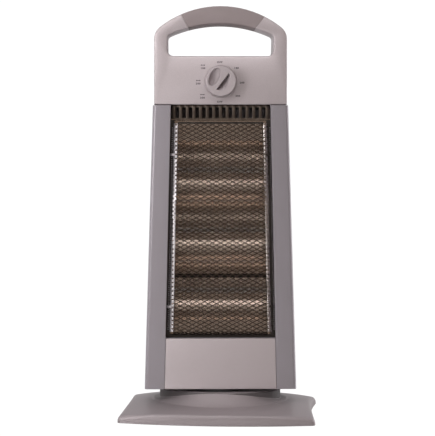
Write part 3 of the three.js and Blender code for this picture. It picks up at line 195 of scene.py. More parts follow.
# Floor: white to the camera, and a polished pale table for all other rays
FLOOR_REACH = 6
FLOOR_HEIGHT = -0.0002
FLOOR_COLOUR, FLOOR_ROUGHNESS = grey(0.85), 0.9
POLISH_COLOUR, POLISH_ROUGHNESS = grey(0.9), 0.12
TABLE_POLISH = 0.9


def add_floor():
    data = bpy.data.meshes.new("floor")
    corners = [(x * FLOOR_REACH, y * FLOOR_REACH, 0) for x, y in ((-1, -1), (1, -1), (1, 1), (-1, 1))]
    data.from_pydata(corners, [], [(0, 1, 2, 3)])
    floor = bpy.data.objects.new("floor", data)
    floor.location.z = FLOOR_HEIGHT
    bpy.context.collection.objects.link(floor)
    paper = bpy.data.materials.new("floor_paper")
    paper.use_nodes = True
    tree = paper.node_tree
    shader = tree.nodes["Principled BSDF"]
    shader.inputs["Base Color"].default_value = FLOOR_COLOUR
    shader.inputs["Roughness"].default_value = FLOOR_ROUGHNESS
    polish = tree.nodes.new("ShaderNodeBsdfGlossy")
    polish.inputs["Color"].default_value = POLISH_COLOUR
    polish.inputs["Roughness"].default_value = POLISH_ROUGHNESS
    table = tree.nodes.new("ShaderNodeMixShader")
    table.inputs["Fac"].default_value = TABLE_POLISH
    tree.links.new(shader.outputs["BSDF"], table.inputs[1])
    tree.links.new(polish.outputs["BSDF"], table.inputs[2])
    white_to_camera(tree, "ShaderNodeEmission", table.outputs["Shader"],
                    tree.nodes["Material Output"].inputs["Surface"])
    data.materials.append(paper)


add_camera()
add_room()
add_floor()
for light_name, light_values in LIGHTS.items():
    add_light(light_name, *light_values)
bpy.context.scene.view_settings.view_transform = "Standard"


# Materials: each has its own colour drift, roughness drift and surface relief
CLOUD_DETAIL, GRAIN_DETAIL = 4, 2
FLECK_SCALE, FLECK_DETAIL = 1500, 1
FLECK_DARK, FLECK_BRIGHT = 0.8, 1.3


def new_material(name):
    material = bpy.data.materials.new(name)
    material.use_nodes = True
    tree = material.node_tree
    return material, tree, tree.nodes["Principled BSDF"]


def tint(colour, factor):
    return tuple(min(1, part * factor) for part in colour[:3]) + (1,)


def flecked(tree, place, base, fine, colour, amount):
    """Blends small darker and brighter flecks into a base colour."""
    flecks = noise(tree, place, FLECK_SCALE, FLECK_DETAIL)
    blend = tree.nodes.new("ShaderNodeMix")
    blend.data_type = "RGBA"
    tree.links.new(spread(tree, flecks, 0, amount), blend.inputs["Factor"])
    tree.links.new(base, blend.inputs["A"])
    tree.links.new(ramp(tree, fine, tint(colour, FLECK_DARK), tint(colour, FLECK_BRIGHT)), blend.inputs["B"])
    return blend.outputs["Result"]


def surface(name, seen_colour, rough, metal, drift, grain, grain_depth, cloud, rough_drift,
            edge=0.0, stretch=None, fleck=0.0, specular=0.5):
    material, tree, shader = new_material(name)
    colour = seen(*seen_colour)
    place = tree.nodes.new("ShaderNodeTexCoord").outputs["Object"]
    clouds = noise(tree, place, cloud, CLOUD_DETAIL)
    fine = noise(tree, place, grain, GRAIN_DETAIL, stretch)
    base = ramp(tree, clouds, tint(colour, 1 - drift), tint(colour, 1 + drift))
    if fleck:
        base = flecked(tree, place, base, fine, colour, fleck)
    tree.links.new(base, shader.inputs["Base Color"])
    tree.links.new(spread(tree, fine, rough - rough_drift, rough + rough_drift), shader.inputs["Roughness"])
    shader.inputs["Metallic"].default_value = metal
    shader.inputs["Specular IOR Level"].default_value = specular
    before = softened(tree, edge) if edge else None
    tree.links.new(bump(tree, fine, grain_depth, before), shader.inputs["Normal"])
    return material


# Looks: the columns are those of surface, and the last one holds what only some looks have
LOOK_TABLE = {
    "dark_silver": ((146, 140, 146), 0.42, 0.35, 0.03, 1400, 0.08, 9, 0.04, {"edge": 0.0007, "fleck": 0.5}),
    "light_silver": ((184, 174, 177), 0.4, 0.35, 0.02, 1400, 0.07, 9, 0.04, {"edge": 0.0007, "fleck": 0.5}),
    "moulding": ((184, 174, 177), 0.4, 0.35, 0.02, 1400, 0.07, 9, 0.04, {"edge": 0.0026, "fleck": 0.5}),
    "base_silver": ((146, 137, 140), 0.46, 0.25, 0.03, 1200, 0.1, 8, 0.04, {"edge": 0.0009, "fleck": 0.4}),
    "grip": ((138, 126, 127), 0.62, 0.0, 0.03, 2200, 0.25, 20, 0.05, {"edge": 0.0004}),
    "chrome": ((200, 192, 190), 0.25, 1.0, 0.05, 600, 0.1, 30, 0.05, {}),
    # Painted shade: the net is a darkened, browned copy of the guard's chrome, standing in for the dark room
    # its strands reflect
    "net": ((64, 54, 48), 0.42, 1.0, 0.06, 600, 0.1, 30, 0.05, {}),
    # Painted highlight: a lighter copy of the guard's chrome for the left fold, the left clip hooks and the
    # lip strands, standing in for the light they catch
    "guard_painted_highlight": ((206, 201, 204), 0.42, 0.75, 0.06, 700, 0.2, 40, 0.06, {}),
    # Painted shade: a darker copy of the guard's chrome for the rim, the top fold and the right clip hooks,
    # which lie in shade
    "guard_painted_shade": ((62, 57, 54), 0.5, 0.8, 0.1, 600, 0.2, 30, 0.05, {}),
    "knob_silver": ((172, 162, 165), 0.46, 0.3, 0.03, 1300, 0.08, 12, 0.04, {"edge": 0.0004, "fleck": 0.5}),
    # Painted shade: a dark copy of the base's silver for the shaded neck under the head
    "neck_painted_shade": ((84, 78, 80), 0.6, 0.1, 0.03, 1200, 0.1, 8, 0.04, {"edge": 0.0004}),
    # Painted shadow: a near-black strip behind the reflector's seam
    "seam_painted_shadow": ((30, 26, 24), 0.8, 0.0, 0.1, 500, 0.3, 30, 0.08, {"specular": 0.1}),
    "sooty": ((40, 36, 34), 0.7, 0.6, 0.15, 500, 0.3, 30, 0.08, {}),
    "reflector": ((210, 192, 178), 0.21, 0.82, 0.08, 500, 0.06, 11, 0.05, {"stretch": (0.15, 1, 1)}),
    # Painted shade: a darker copy of the reflector sheet for the slotted flange
    "reflector_painted_shade": ((96, 86, 79), 0.4, 1.0, 0.1, 500, 0.06, 30, 0.05, {}),
    "steel": ((172, 172, 174), 0.36, 0.95, 0.05, 700, 0.15, 25, 0.07,
              {"edge": 0.0003, "stretch": (0.2, 1, 1)}),
    "iron": ((86, 84, 84), 0.62, 0.7, 0.12, 500, 0.4, 30, 0.1, {"edge": 0.0003}),
    "brass": ((196, 164, 96), 0.32, 0.95, 0.06, 700, 0.12, 30, 0.06, {"edge": 0.0003}),
    "rubber": ((40, 40, 42), 0.82, 0.0, 0.08, 900, 0.5, 30, 0.06, {"edge": 0.0004}),
    "black_plastic": ((52, 51, 53), 0.5, 0.0, 0.06, 1100, 0.3, 20, 0.06, {"edge": 0.0003}),
    "nylon": ((228, 226, 219), 0.45, 0.0, 0.02, 800, 0.1, 20, 0.05, {"edge": 0.0003}),
    "ceramic": ((222, 214, 198), 0.6, 0.0, 0.03, 1300, 0.35, 40, 0.06, {"edge": 0.0004}),
    "coil_wire": ((104, 96, 90), 0.5, 0.85, 0.15, 900, 0.2, 60, 0.08, {}),
    "ink": ((62, 54, 60), 0.6, 0.0, 0.05, 1500, 0.1, 30, 0.05, {}),
}


# Quartz: clear glass with faint drawn lines along the tube
QUARTZ_LINES, QUARTZ_DETAIL, QUARTZ_STRETCH = 260, 3, (0.06, 1, 1)
QUARTZ_DARK, QUARTZ_BRIGHT = seen(236, 232, 228), seen(250, 248, 246)
QUARTZ_SMOOTH, QUARTZ_ROUGH = 0.08, 0.2
QUARTZ_CLEAR, QUARTZ_IOR, QUARTZ_RELIEF = 0.96, 1.3, 0.15


def quartz_look():
    material, tree, shader = new_material("quartz")
    place = tree.nodes.new("ShaderNodeTexCoord").outputs["Object"]
    lines = noise(tree, place, QUARTZ_LINES, QUARTZ_DETAIL, QUARTZ_STRETCH)
    tree.links.new(ramp(tree, lines, QUARTZ_DARK, QUARTZ_BRIGHT), shader.inputs["Base Color"])
    tree.links.new(spread(tree, lines, QUARTZ_SMOOTH, QUARTZ_ROUGH), shader.inputs["Roughness"])
    shader.inputs["Transmission Weight"].default_value = QUARTZ_CLEAR
    shader.inputs["IOR"].default_value = QUARTZ_IOR
    tree.links.new(bump(tree, lines, QUARTZ_RELIEF), shader.inputs["Normal"])
    return material


LOOKS = {}
for look_name, (*columns, extras) in LOOK_TABLE.items():
    LOOKS[look_name] = surface(look_name, *columns, **extras)
LOOKS["quartz"] = quartz_look()


# A carried-over solid keeps its shape and gets its finish and even shading
WELD_REACH = 0.00002
CARRIED_ANGLE = 32


def dress(name, look):
    piece = nodes[name]
    mesh = piece.data
    if "custom_normal" in mesh.attributes:
        mesh.attributes.remove(mesh.attributes["custom_normal"])
    mesh.polygons.foreach_set("use_smooth", [True] * len(mesh.polygons))
    mesh.edges.foreach_set("use_edge_sharp", [False] * len(mesh.edges))
    mesh.materials.clear()
    mesh.materials.append(LOOKS[look])
    weld = piece.modifiers.new("weld", "WELD")
    weld.merge_threshold = WELD_REACH
    split = piece.modifiers.new("split", "EDGE_SPLIT")
    split.split_angle = math.radians(CARRIED_ANGLE)
    mesh.update()


FINISHES = {
    "dark_silver": ["front_frame", "rear_cover"],
    "light_silver": ["lower_fascia"],
    "moulding": ["top_front_shell", "top_rear_shell"],
    "knob_silver": ["control_knob"],
    "base_silver": ["base_shell"],
    "grip": ["handle_grip_front", "handle_grip_rear"],
    "chrome": ["guard"],
    "reflector": ["reflector"],
    "sooty": ["heat_shield"],
    "steel": ["floor_plate", "thermal_cutout", "tip_pendulum", "switch_shaft", "swing_motor",
              "pivot_post", "pivot_washer"],
    "iron": ["ballast_plate"],
    "brass": ["pivot_nut"],
    # The wear ring is made black as painted shade, so that the neck under the head stays dark
    "black_plastic": ["wear_ring", "base_plate", "rotary_switch", "cord_gland"],
    "nylon": ["swing_crank", "tip_switch_frame", "terminal_block"],
}
PATTERNS = {
    "foot_": "rubber", "base_screw_": "steel", "guard_clip_": "steel", "quartz_tube_": "quartz",
    "heating_coil_": "coil_wire", "end_cap_": "ceramic", "tube_bracket_": "steel", "cover_screw_": "steel",
    "handle_screw_": "steel",
}
look_of = {name: look for look, names in FINISHES.items() for name in names}
for name in nodes:
    for start, look in PATTERNS.items():
        if name.startswith(start):
            look_of[name] = look
for name in nodes:
    dress(name, look_of[name])


# Mesh helpers: shapes are in millimetres until metres() turns them, and no angle means flat shading
def new_piece(name, points, faces, body, look, replaced=(), angle=None):
    data = bpy.data.meshes.new(name)
    data.from_pydata([tuple(point) for point in points], [], faces)
    data.validate()
    data.polygons.foreach_set("use_smooth", [angle is not None] * len(data.polygons))
    if angle is not None:
        data.set_sharp_from_angle(angle=math.radians(angle))
    data.materials.append(LOOKS[look])
    piece = bpy.data.objects.new(name, data)
    bpy.context.collection.objects.link(piece)
    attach(piece, body)
    if replaced:
        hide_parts(*replaced)
    return piece


def thicken(piece, thickness, offset):
    modifier = piece.modifiers.new("thick", "SOLIDIFY")
    modifier.thickness = thickness * MM
    modifier.offset = offset


def loft(rings, closed_run=False):
    """Joins rings of points into a skin, with a cap at each end unless the run is closed."""
    count = len(rings[0])
    points = [point for ring in rings for point in ring]
    faces = []
    for row in range(len(rings) if closed_run else len(rings) - 1):
        start = row * count
        after = (row + 1) % len(rings) * count
        for column in range(count):
            side = (column + 1) % count
            faces.append((start + column, start + side, after + side, after + column))
    if not closed_run:
        faces.append(tuple(reversed(range(count))))
        faces.append(tuple(range((len(rings) - 1) * count, len(rings) * count)))
    return points, faces


def across(outline, half):
    """A bar along x from -half to half, whose outline is given as (y, z) points."""
    return loft([[(x, y, z) for y, z in outline] for x in (-half, half)])


def flipped(faces):
    return [tuple(reversed(face)) for face in faces]


def add_mesh(points, faces, more_points, more_faces):
    first = len(points)
    points += more_points
    faces += [tuple(first + index for index in face) for face in more_faces]


def circle_angles(count):
    return [2 * math.pi * index / count for index in range(count)]


def turned_about_z(points, degrees):
    cosine, sine = math.cos(math.radians(degrees)), math.sin(math.radians(degrees))
    return [(x * cosine - y * sine, x * sine + y * cosine, z) for x, y, z in points]


def metres(points):
    return [(x * MM, y * MM, z * MM) for x, y, z in points]


def mix(start, end, share):
    return start + (end - start) * share


def steps(start, end, count):
    return [mix(start, end, step / count) for step in range(count + 1)]


# Base shell: bowed front and back, waisted sides, a dome with a low oval hub
BASE_TURN = -5
BASE_HALF, BASE_DEEP, BASE_BOW, BASE_WAIST, BASE_CORNER = 139.0, 86.0, 15.0, 7.5, 7.0
FRONT_STEPS, SIDE_STEPS, CORNER_STEPS = 48, 32, 10
CROWN, SIDE_FALL, FRONT_FALL = 25.9, 9.0, 10.9
FOOT_WIDE, FOOT_DEEP, HUB_WIDE, HUB_DEEP = 97.0, 70.0, 85.0, 51.5
HUB_TOP, HUB_ROUND, SHOULDER_FALL, BASE_WALL = 38.8, 2.0, 12.2, 2.8
POST_HOLE = 6.8
HUB_FLAT = (50.0, 40.0)

# The lower edge and the rounded rim: insets from the plan with heights, or with drops below the dome
LOWER_EDGE = ((0.8, 0.6), (0.5, 1.1))
RIM_START, RIM_END = 0.5, 3.2
RIM_ROUND = ((0.6, 2.1), (0.9, 1.4), (1.4, 0.7), (2.1, 0.2), (RIM_END, 0.0))
END_INSET, END_DROP = 2.6, 2.5
INNER_RIM, INNER_FOOT, FOOT_HEIGHT = 5.0, 2.8, 0.6

# The slope from the dome to the hub: its foot is rounded between two ovals
DOME_STEPS, SLOPE_STEPS, SLOPE_SWELL = 8, 10, 0.85
FOOT_OUT_WIDE, FOOT_OUT_DEEP, FOOT_IN_WIDE, FOOT_IN_DEEP = 3.0, 2.4, 1.5, 2.0
FOOT_RISE = 1.3
FOOT_ROUND = ((0.35, 0.1), (0.7, 0.5), (1.0, FOOT_RISE))
HUB_SHOULDER = ((HUB_ROUND, 0.0), (1.7, 0.5))
HUB_EDGE = ((1.5, 37.4), (1.1, 38.0), (0.4, 38.5), (-1.0, HUB_TOP))


def plan_front(x):
    return -(BASE_DEEP + BASE_BOW * (1 - (x / BASE_HALF) ** 2))


def plan_side(y):
    return BASE_HALF - BASE_WAIST * (1 - (y / BASE_DEEP) ** 2)


def rounded(start, through, end):
    """The inner points of a curve from start to end that bends towards a third point."""
    line = []
    for step in range(1, CORNER_STEPS):
        share = step / CORNER_STEPS
        line.append(tuple(mix(mix(a, b, share), mix(b, c, share), share)
                          for a, b, c in zip(start, through, end)))
    return line


def base_plan():
    """The base's outline: the front and the right side, and the same half turned round."""
    straight_x, straight_y = BASE_HALF - BASE_CORNER, BASE_DEEP - BASE_CORNER
    front_end, side_end = plan_front(straight_x), plan_side(straight_y)
    half = [(x, plan_front(x)) for x in steps(-straight_x, straight_x, FRONT_STEPS)]
    half += rounded((straight_x, front_end), (BASE_HALF, -BASE_DEEP), (side_end, -straight_y))
    half += [(plan_side(y), y) for y in steps(-straight_y, straight_y, SIDE_STEPS)]
    half += rounded((side_end, straight_y), (BASE_HALF, BASE_DEEP), (straight_x, -front_end))
    return half + [(-x, -y) for x, y in half]


def drawn_in(outline, distance):
    result = []
    count = len(outline)
    for index, (x, y) in enumerate(outline):
        before, after = outline[index - 1], outline[(index + 1) % count]
        run_x, run_y = after[0] - before[0], after[1] - before[1]
        length = math.hypot(run_x, run_y)
        result.append((x - run_y / length * distance, y + run_x / length * distance))
    return result


def oval(outline, half_width, half_depth):
    result = []
    for x, y in outline:
        angle = math.atan2(y / half_depth, x / half_width)
        result.append((half_width * math.cos(angle), half_depth * math.sin(angle)))
    return result


def between(outer, inner, share):
    return [(mix(a, c, share), mix(b, d, share)) for (a, b), (c, d) in zip(outer, inner)]


def dome_height(x, y):
    return CROWN - SIDE_FALL * abs(x / BASE_HALF) ** 3 - FRONT_FALL * (y / (BASE_DEEP + BASE_BOW)) ** 2


def shoulder_height(x):
    return HUB_TOP - HUB_ROUND - SHOULDER_FALL * (x / HUB_WIDE) ** 2


def flat_ring(outline, height):
    return [(x, y, height) for x, y in outline]


def dome_ring(outline, rise):
    return [(x, y, dome_height(x, y) + rise) for x, y in outline]


def rim_ring(plan, inset, drop):
    """A ring of the rounded rim, drawn in and lowered more near the left and right ends."""
    ring = []
    for (x, y), (in_x, in_y) in zip(drawn_in(plan, RIM_START), drawn_in(plan, RIM_END)):
        ends = min(1, abs(x / BASE_HALF)) ** 3
        share = (inset - RIM_START) / (RIM_END - RIM_START) * mix(1, END_INSET, ends)
        px, py = mix(x, in_x, share), mix(y, in_y, share)
        ring.append((px, py, dome_height(px, py) - drop * mix(1, END_DROP, ends)))
    return ring


def hub_oval(plan, grow):
    return oval(plan, HUB_WIDE + grow, HUB_DEEP + grow)


def shoulder_ring(plan, grow, rise):
    """A ring round the hub, whose height follows the hub's sloping shoulder."""
    collar = hub_oval(plan, HUB_ROUND)
    return [(x, y, shoulder_height(top[0]) + rise) for (x, y), top in zip(hub_oval(plan, grow), collar)]


def outer_rings(plan):
    rings = [flat_ring(drawn_in(plan, inset), height) for inset, height in LOWER_EDGE]
    rings += [rim_ring(plan, inset, drop) for inset, drop in RIM_ROUND]
    crease = [(x, y) for x, y, z in rings[-1]]
    wide_foot = oval(plan, FOOT_WIDE + FOOT_OUT_WIDE, FOOT_DEEP + FOOT_OUT_DEEP)
    slope_foot = oval(plan, FOOT_WIDE - FOOT_IN_WIDE, FOOT_DEEP - FOOT_IN_DEEP)
    for step in range(1, DOME_STEPS + 1):
        rings.append(dome_ring(between(crease, wide_foot, step / DOME_STEPS), 0))
    for share, rise in FOOT_ROUND:
        rings.append(dome_ring(between(wide_foot, slope_foot, share), rise))
    for step in range(1, SLOPE_STEPS):
        share = step / SLOPE_STEPS
        swell = share ** SLOPE_SWELL
        ring = []
        for (x, y), (top_x, top_y) in zip(slope_foot, hub_oval(plan, HUB_ROUND)):
            height = mix(dome_height(x, y) + FOOT_RISE, shoulder_height(top_x), share)
            ring.append((mix(x, top_x, swell), mix(y, top_y, swell), height))
        rings.append(ring)
    rings += [shoulder_ring(plan, grow, rise) for grow, rise in HUB_SHOULDER]
    rings += [flat_ring(hub_oval(plan, grow), height) for grow, height in HUB_EDGE]
    rings.append(flat_ring(oval(plan, *HUB_FLAT), HUB_TOP))
    return rings


def inner_rings(plan):
    hub_inside = hub_oval(plan, -BASE_WALL)
    hole = oval(plan, POST_HOLE, POST_HOLE)
    return [
        flat_ring(hole, HUB_TOP),
        flat_ring(hole, HUB_TOP - BASE_WALL),
        flat_ring(hub_inside, HUB_TOP - BASE_WALL),
        [(x, y, shoulder_height(x) - BASE_WALL) for x, y in hub_inside],
        dome_ring(oval(plan, FOOT_WIDE - BASE_WALL, FOOT_DEEP - BASE_WALL), -BASE_WALL),
        dome_ring(drawn_in(plan, INNER_RIM), -BASE_WALL),
        flat_ring(drawn_in(plan, INNER_FOOT), FOOT_HEIGHT),
    ]


def make_base_shell():
    plan = base_plan()
    points, faces = loft(outer_rings(plan) + inner_rings(plan), closed_run=True)
    points = metres(turned_about_z(points, BASE_TURN))
    new_piece("base_shell_skin", points, faces, "base", "base_silver", ("base_shell",), angle=50)


# A dark sleeve of painted shade over the hub's collar wall, where the head's shadow falls between the hub's
# shoulder and the head
SLEEVE_IN, SLEEVE_OUT = 1.2, 1.75
SLEEVE_RISE_IN, SLEEVE_RISE_OUT = 0.4, 0.5
SLEEVE_TOP_IN, SLEEVE_TOP_OUT = 37.9, 37.3


def make_hub_painted_shade():
    plan = base_plan()
    rings = [
        shoulder_ring(plan, SLEEVE_IN, SLEEVE_RISE_IN),
        shoulder_ring(plan, SLEEVE_OUT, SLEEVE_RISE_OUT),
        flat_ring(hub_oval(plan, SLEEVE_OUT), SLEEVE_TOP_OUT),
        flat_ring(hub_oval(plan, SLEEVE_IN), SLEEVE_TOP_IN),
    ]
    points, faces = loft(rings, closed_run=True)
    new_piece("hub_painted_shade", metres(turned_about_z(points, BASE_TURN)), faces, "base", "neck_painted_shade", angle=40)


# A dark strip inside closes the thin gap between the rear cover and the top moulding
STRIP_HALF, STRIP_FRONT, STRIP_BACK, STRIP_LOW, STRIP_HIGH = 84.0, 44.0, 45.0, 437.5, 446.5


def make_joint_strip():
    outline = [(STRIP_FRONT, STRIP_LOW), (STRIP_FRONT, STRIP_HIGH), (STRIP_BACK, STRIP_HIGH),
               (STRIP_BACK, STRIP_LOW)]
    points, faces = across(outline, STRIP_HALF)
    new_piece("joint_strip", metres(points), faces, "head", "black_plastic")


# Guard: expanded sheet with wide diamonds, folded back along its four edges
GUARD_LOW, GUARD_HIGH, GUARD_LOW_HALF, GUARD_HIGH_HALF = 124.1, 416.1, 66.5, 59.6
GUARD_FRONT, GUARD_BACK, GUARD_FLARE = -46.2, -38.6, 5.2
NET_HALF_X, NET_HALF_Z, STRAND, NET_SHEET = 5.65, 2.95, 1.15, 0.7
NET_REACH_X, NET_REACH_Z = 86, 165
STRAND_TURN, FOLD_TURN_SHARE = 0.14, 0.3
FOLD_OPEN_SHARE, TOP_FOLD_OUT = 0.6, 0.35
STRAND_REACH = NET_HALF_X * NET_HALF_Z / math.hypot(NET_HALF_X, NET_HALF_Z)
OPEN_SHARE = (STRAND_REACH - STRAND / 2) / STRAND_REACH
BEND = 2 * math.atan2(GUARD_BACK - GUARD_FRONT, GUARD_FLARE)
BEND_RADIUS = GUARD_FLARE / math.sin(BEND)
STRAIGHT_FOLD = math.hypot(GUARD_FLARE, GUARD_BACK - GUARD_FRONT)

# Each edge of the net as a direction outwards in x and z, and how far out the edge lies
GUARD_LEAN = (GUARD_LOW_HALF - GUARD_HIGH_HALF) / (GUARD_HIGH - GUARD_LOW)
GUARD_SLOPE = math.hypot(1, GUARD_LEAN)
GUARD_SIDE_REACH = (GUARD_LOW_HALF + GUARD_LEAN * GUARD_LOW) / GUARD_SLOPE
GUARD_EDGES = {
    "right": ((1 / GUARD_SLOPE, GUARD_LEAN / GUARD_SLOPE), GUARD_SIDE_REACH),
    "left": ((-1 / GUARD_SLOPE, GUARD_LEAN / GUARD_SLOPE), GUARD_SIDE_REACH),
    "top": ((0, 1), GUARD_HIGH),
    "bottom": ((0, -1), -GUARD_LOW),
}
# The face's net look and the fold looks are painted shade and painted highlight on one chrome sheet
GUARD_PARTS = {
    "face": ("net", ("guard",)),
    "fold_right": ("chrome", ()),
    "fold_left": ("guard_painted_highlight", ()),
    "fold_top": ("guard_painted_shade", ()),
}


def clip(polygon, normal, limit):
    """Keeps the part of a flat polygon that lies no further than limit along a direction."""
    kept = []
    for index, point in enumerate(polygon):
        other = polygon[(index + 1) % len(polygon)]
        past = normal[0] * point[0] + normal[1] * point[1] - limit
        other_past = normal[0] * other[0] + normal[1] * other[1] - limit
        if past <= 0:
            kept.append(point)
        if (past < 0 < other_past) or (other_past < 0 < past):
            share = past / (past - other_past)
            kept.append(tuple(mix(a, b, share) for a, b in zip(point, other)))
    return kept


def net_strands(open_share):
    """Four strands round each diamond, as polygons of (x, z, lift) points."""
    middle = (GUARD_LOW + GUARD_HIGH) / 2
    in_x, in_z = NET_HALF_X * open_share, NET_HALF_Z * open_share
    rows, columns = int(NET_REACH_Z / NET_HALF_Z), int(NET_REACH_X / NET_HALF_X)
    strands = []
    for row in range(-rows, rows + 1):
        for column in range(-columns, columns + 1):
            if (row + column) % 2:
                continue
            x, z = column * NET_HALF_X, middle + row * NET_HALF_Z
            outer = [(x - NET_HALF_X, z, 0), (x, z - NET_HALF_Z, 0), (x + NET_HALF_X, z, 0),
                     (x, z + NET_HALF_Z, 0)]
            inner = [(x - in_x, z, 0), (x, z - in_z, -STRAND_TURN), (x + in_x, z, 0),
                     (x, z + in_z, STRAND_TURN)]
            for index in range(4):
                after = (index + 1) % 4
                strands.append([outer[index], outer[after], inner[after], inner[index]])
    return strands


def over_edge(polygon, edge, reach):
    """The part of a polygon that lies up to reach past one edge, and inside the edges beside it."""
    normal, limit = edge
    part = clip(polygon, (-normal[0], -normal[1]), -limit)
    part = clip(part, normal, limit + reach)
    for other, stop in GUARD_EDGES.values():
        is_beside = abs(normal[0] * other[0] + normal[1] * other[1]) < 0.5
        if is_beside:
            part = clip(part, other, stop)
    return part


def straight_fold(over):
    """How far out and back a point comes to lie that was this far past the edge."""
    return over * GUARD_FLARE / STRAIGHT_FOLD, over * (GUARD_BACK - GUARD_FRONT) / STRAIGHT_FOLD


def round_fold(over):
    turn = over / BEND_RADIUS
    return BEND_RADIUS * math.sin(turn), BEND_RADIUS * (1 - math.cos(turn))


def round_top_fold(over):
    out, back = round_fold(over)
    return out * TOP_FOLD_OUT, back


def folded(polygon, edge, fold):
    normal, limit = edge
    moved = []
    for x, z, lift in polygon:
        over = normal[0] * x + normal[1] * z - limit
        out, back = fold(over)
        shift = out - over
        y = GUARD_FRONT + back + lift * FOLD_TURN_SHARE
        moved.append((x + normal[0] * shift, y, z + normal[1] * shift))
    return moved


def new_net():
    return {"points": [], "faces": [], "index_of": {}}


def add_strand(net, polygon):
    """Adds a polygon to a net, sharing the points that the net already has."""
    ring = []
    for spot in polygon:
        key = tuple(round(part, 3) for part in spot)
        if key not in net["index_of"]:
            net["index_of"][key] = len(net["points"])
            net["points"].append(spot)
        if not ring or ring[-1] != net["index_of"][key]:
            ring.append(net["index_of"][key])
    if len(ring) > 1 and ring[0] == ring[-1]:
        ring.pop()
    if len(ring) >= 3 and len(set(ring)) == len(ring):
        net["faces"].append(ring)


def make_guard():
    nets = {name: new_net() for name in GUARD_PARTS}
    bottom = GUARD_EDGES["bottom"]
    for polygon in net_strands(OPEN_SHARE):
        part = polygon
        for normal, limit in GUARD_EDGES.values():
            part = clip(part, normal, limit)
        add_strand(nets["face"], [(x, GUARD_FRONT + lift, z) for x, z, lift in part])
        add_strand(nets["face"], folded(over_edge(polygon, bottom, STRAIGHT_FOLD), bottom, straight_fold))
    round_folds = (("right", round_fold), ("left", round_fold), ("top", round_top_fold))
    for polygon in net_strands(OPEN_SHARE * FOLD_OPEN_SHARE):
        for side, fold in round_folds:
            edge = GUARD_EDGES[side]
            add_strand(nets["fold_" + side], folded(over_edge(polygon, edge, BEND_RADIUS * BEND), edge, fold))
    for name, (look, replaced) in GUARD_PARTS.items():
        net = nets[name]
        points = metres(net["points"])
        part = new_piece("guard_" + name, points, net["faces"], "head", look, replaced, angle=60)
        thicken(part, NET_SHEET, 0)


# The flat rim of the guard behind the window's return wall, given the guard's painted shade look
RIM_OUTER, RIM_INNER, RIM_FRONT, RIM_BACK, RIM_TOP_GROW = 12.1, 4.6, -38.2, -37.4, 5.5


def make_guard_rim():
    section = ((RIM_OUTER, RIM_FRONT), (RIM_INNER, RIM_FRONT), (RIM_INNER, RIM_BACK), (RIM_OUTER, RIM_BACK))
    rings = []
    for grow, y in section:
        low, high = GUARD_LOW - grow, GUARD_HIGH + min(grow, RIM_TOP_GROW)
        low_half, high_half = GUARD_LOW_HALF + grow, GUARD_HIGH_HALF + grow
        rings.append([(-low_half, y, low), (low_half, y, low), (high_half, y, high), (-high_half, y, high)])
    points, faces = loft(rings, closed_run=True)
    new_piece("guard_rim", metres(points), flipped(faces), "head", "guard_painted_shade", angle=30)


# Half widths of the window's return wall and of the guard's face at a height
WALL_LOW, WALL_HIGH, WALL_LOW_HALF, WALL_HIGH_HALF = 115.4, 441.2, 77.3, 69.5


def wall_half(z):
    return mix(WALL_LOW_HALF, WALL_HIGH_HALF, (z - WALL_LOW) / (WALL_HIGH - WALL_LOW))


def guard_half(z):
    return mix(GUARD_LOW_HALF, GUARD_HIGH_HALF, (z - GUARD_LOW) / (GUARD_HIGH - GUARD_LOW))


# The cut strands along the guard's lip, each a leaning sliver given by shares of its sizes
CUT_STEP, CUT_LENGTH, CUT_WIDTH, CUT_LEAN = 2.95, 2.4, 1.2, 0.42
CUT_START = 3
CUT_RISE = {"left": 2.6, "right": 6.4}
CUT_LEFT_OUT, CUT_RIGHT_IN = 2.1, 1.3
CUT_SHAPE = ((-1, 0, 0.3), (-0.4, 1, 0.6), (0.4, 1, 0.6), (1, 0, 0.3), (0.4, -1, 1), (-0.4, -1, 1))


def cut_strand(x, z, lean, rise):
    front, back = [], []
    for along, beside, lift in CUT_SHAPE:
        up, out = along * CUT_LENGTH / 2, beside * CUT_WIDTH / 2
        px = x + math.sin(lean) * up + math.cos(lean) * out
        pz = z + math.cos(lean) * up - math.sin(lean) * out
        front.append((px, RIM_FRONT - rise * lift, pz))
        back.append((px, RIM_FRONT, pz))
    points, faces = loft([front, back])
    return points, flipped(faces)


def make_lip_strands():
    count = int((GUARD_HIGH - GUARD_LOW) / CUT_STEP) - 1
    for name, rise in CUT_RISE.items():
        points, faces = [], []
        for index in range(count):
            z = GUARD_LOW + CUT_START + index * CUT_STEP
            if name == "left":
                x = -(guard_half(z) + GUARD_FLARE + CUT_LEFT_OUT)
            else:
                x = wall_half(z) - CUT_RIGHT_IN
            lean = CUT_LEAN if index % 2 else -CUT_LEAN
            add_mesh(points, faces, *cut_strand(x, z, lean, rise))
        # The strands get the lighter guard look, a painted highlight
        new_piece("lip_strands_" + name, metres(points), faces, "head", "guard_painted_highlight")


# The hooks of the four clips, from the window's wall over the edge of the guard
HOOK_LEVELS = {"upper": 372.9, "lower": 159.6}
HOOK_SHEET, HOOK_TAPER = 0.7, 0.7
HOOK_AT_WALL = ((-0.3, -39.0), (-1.0, -42.0))
HOOK_AT_EDGE = ((1.6, -44.6), (-1.4, -44.8), (-2.6, -43.6))
HOOK_HALF_WIDTHS = (1.4, 1.8, 2.0, 1.8, 1.2)


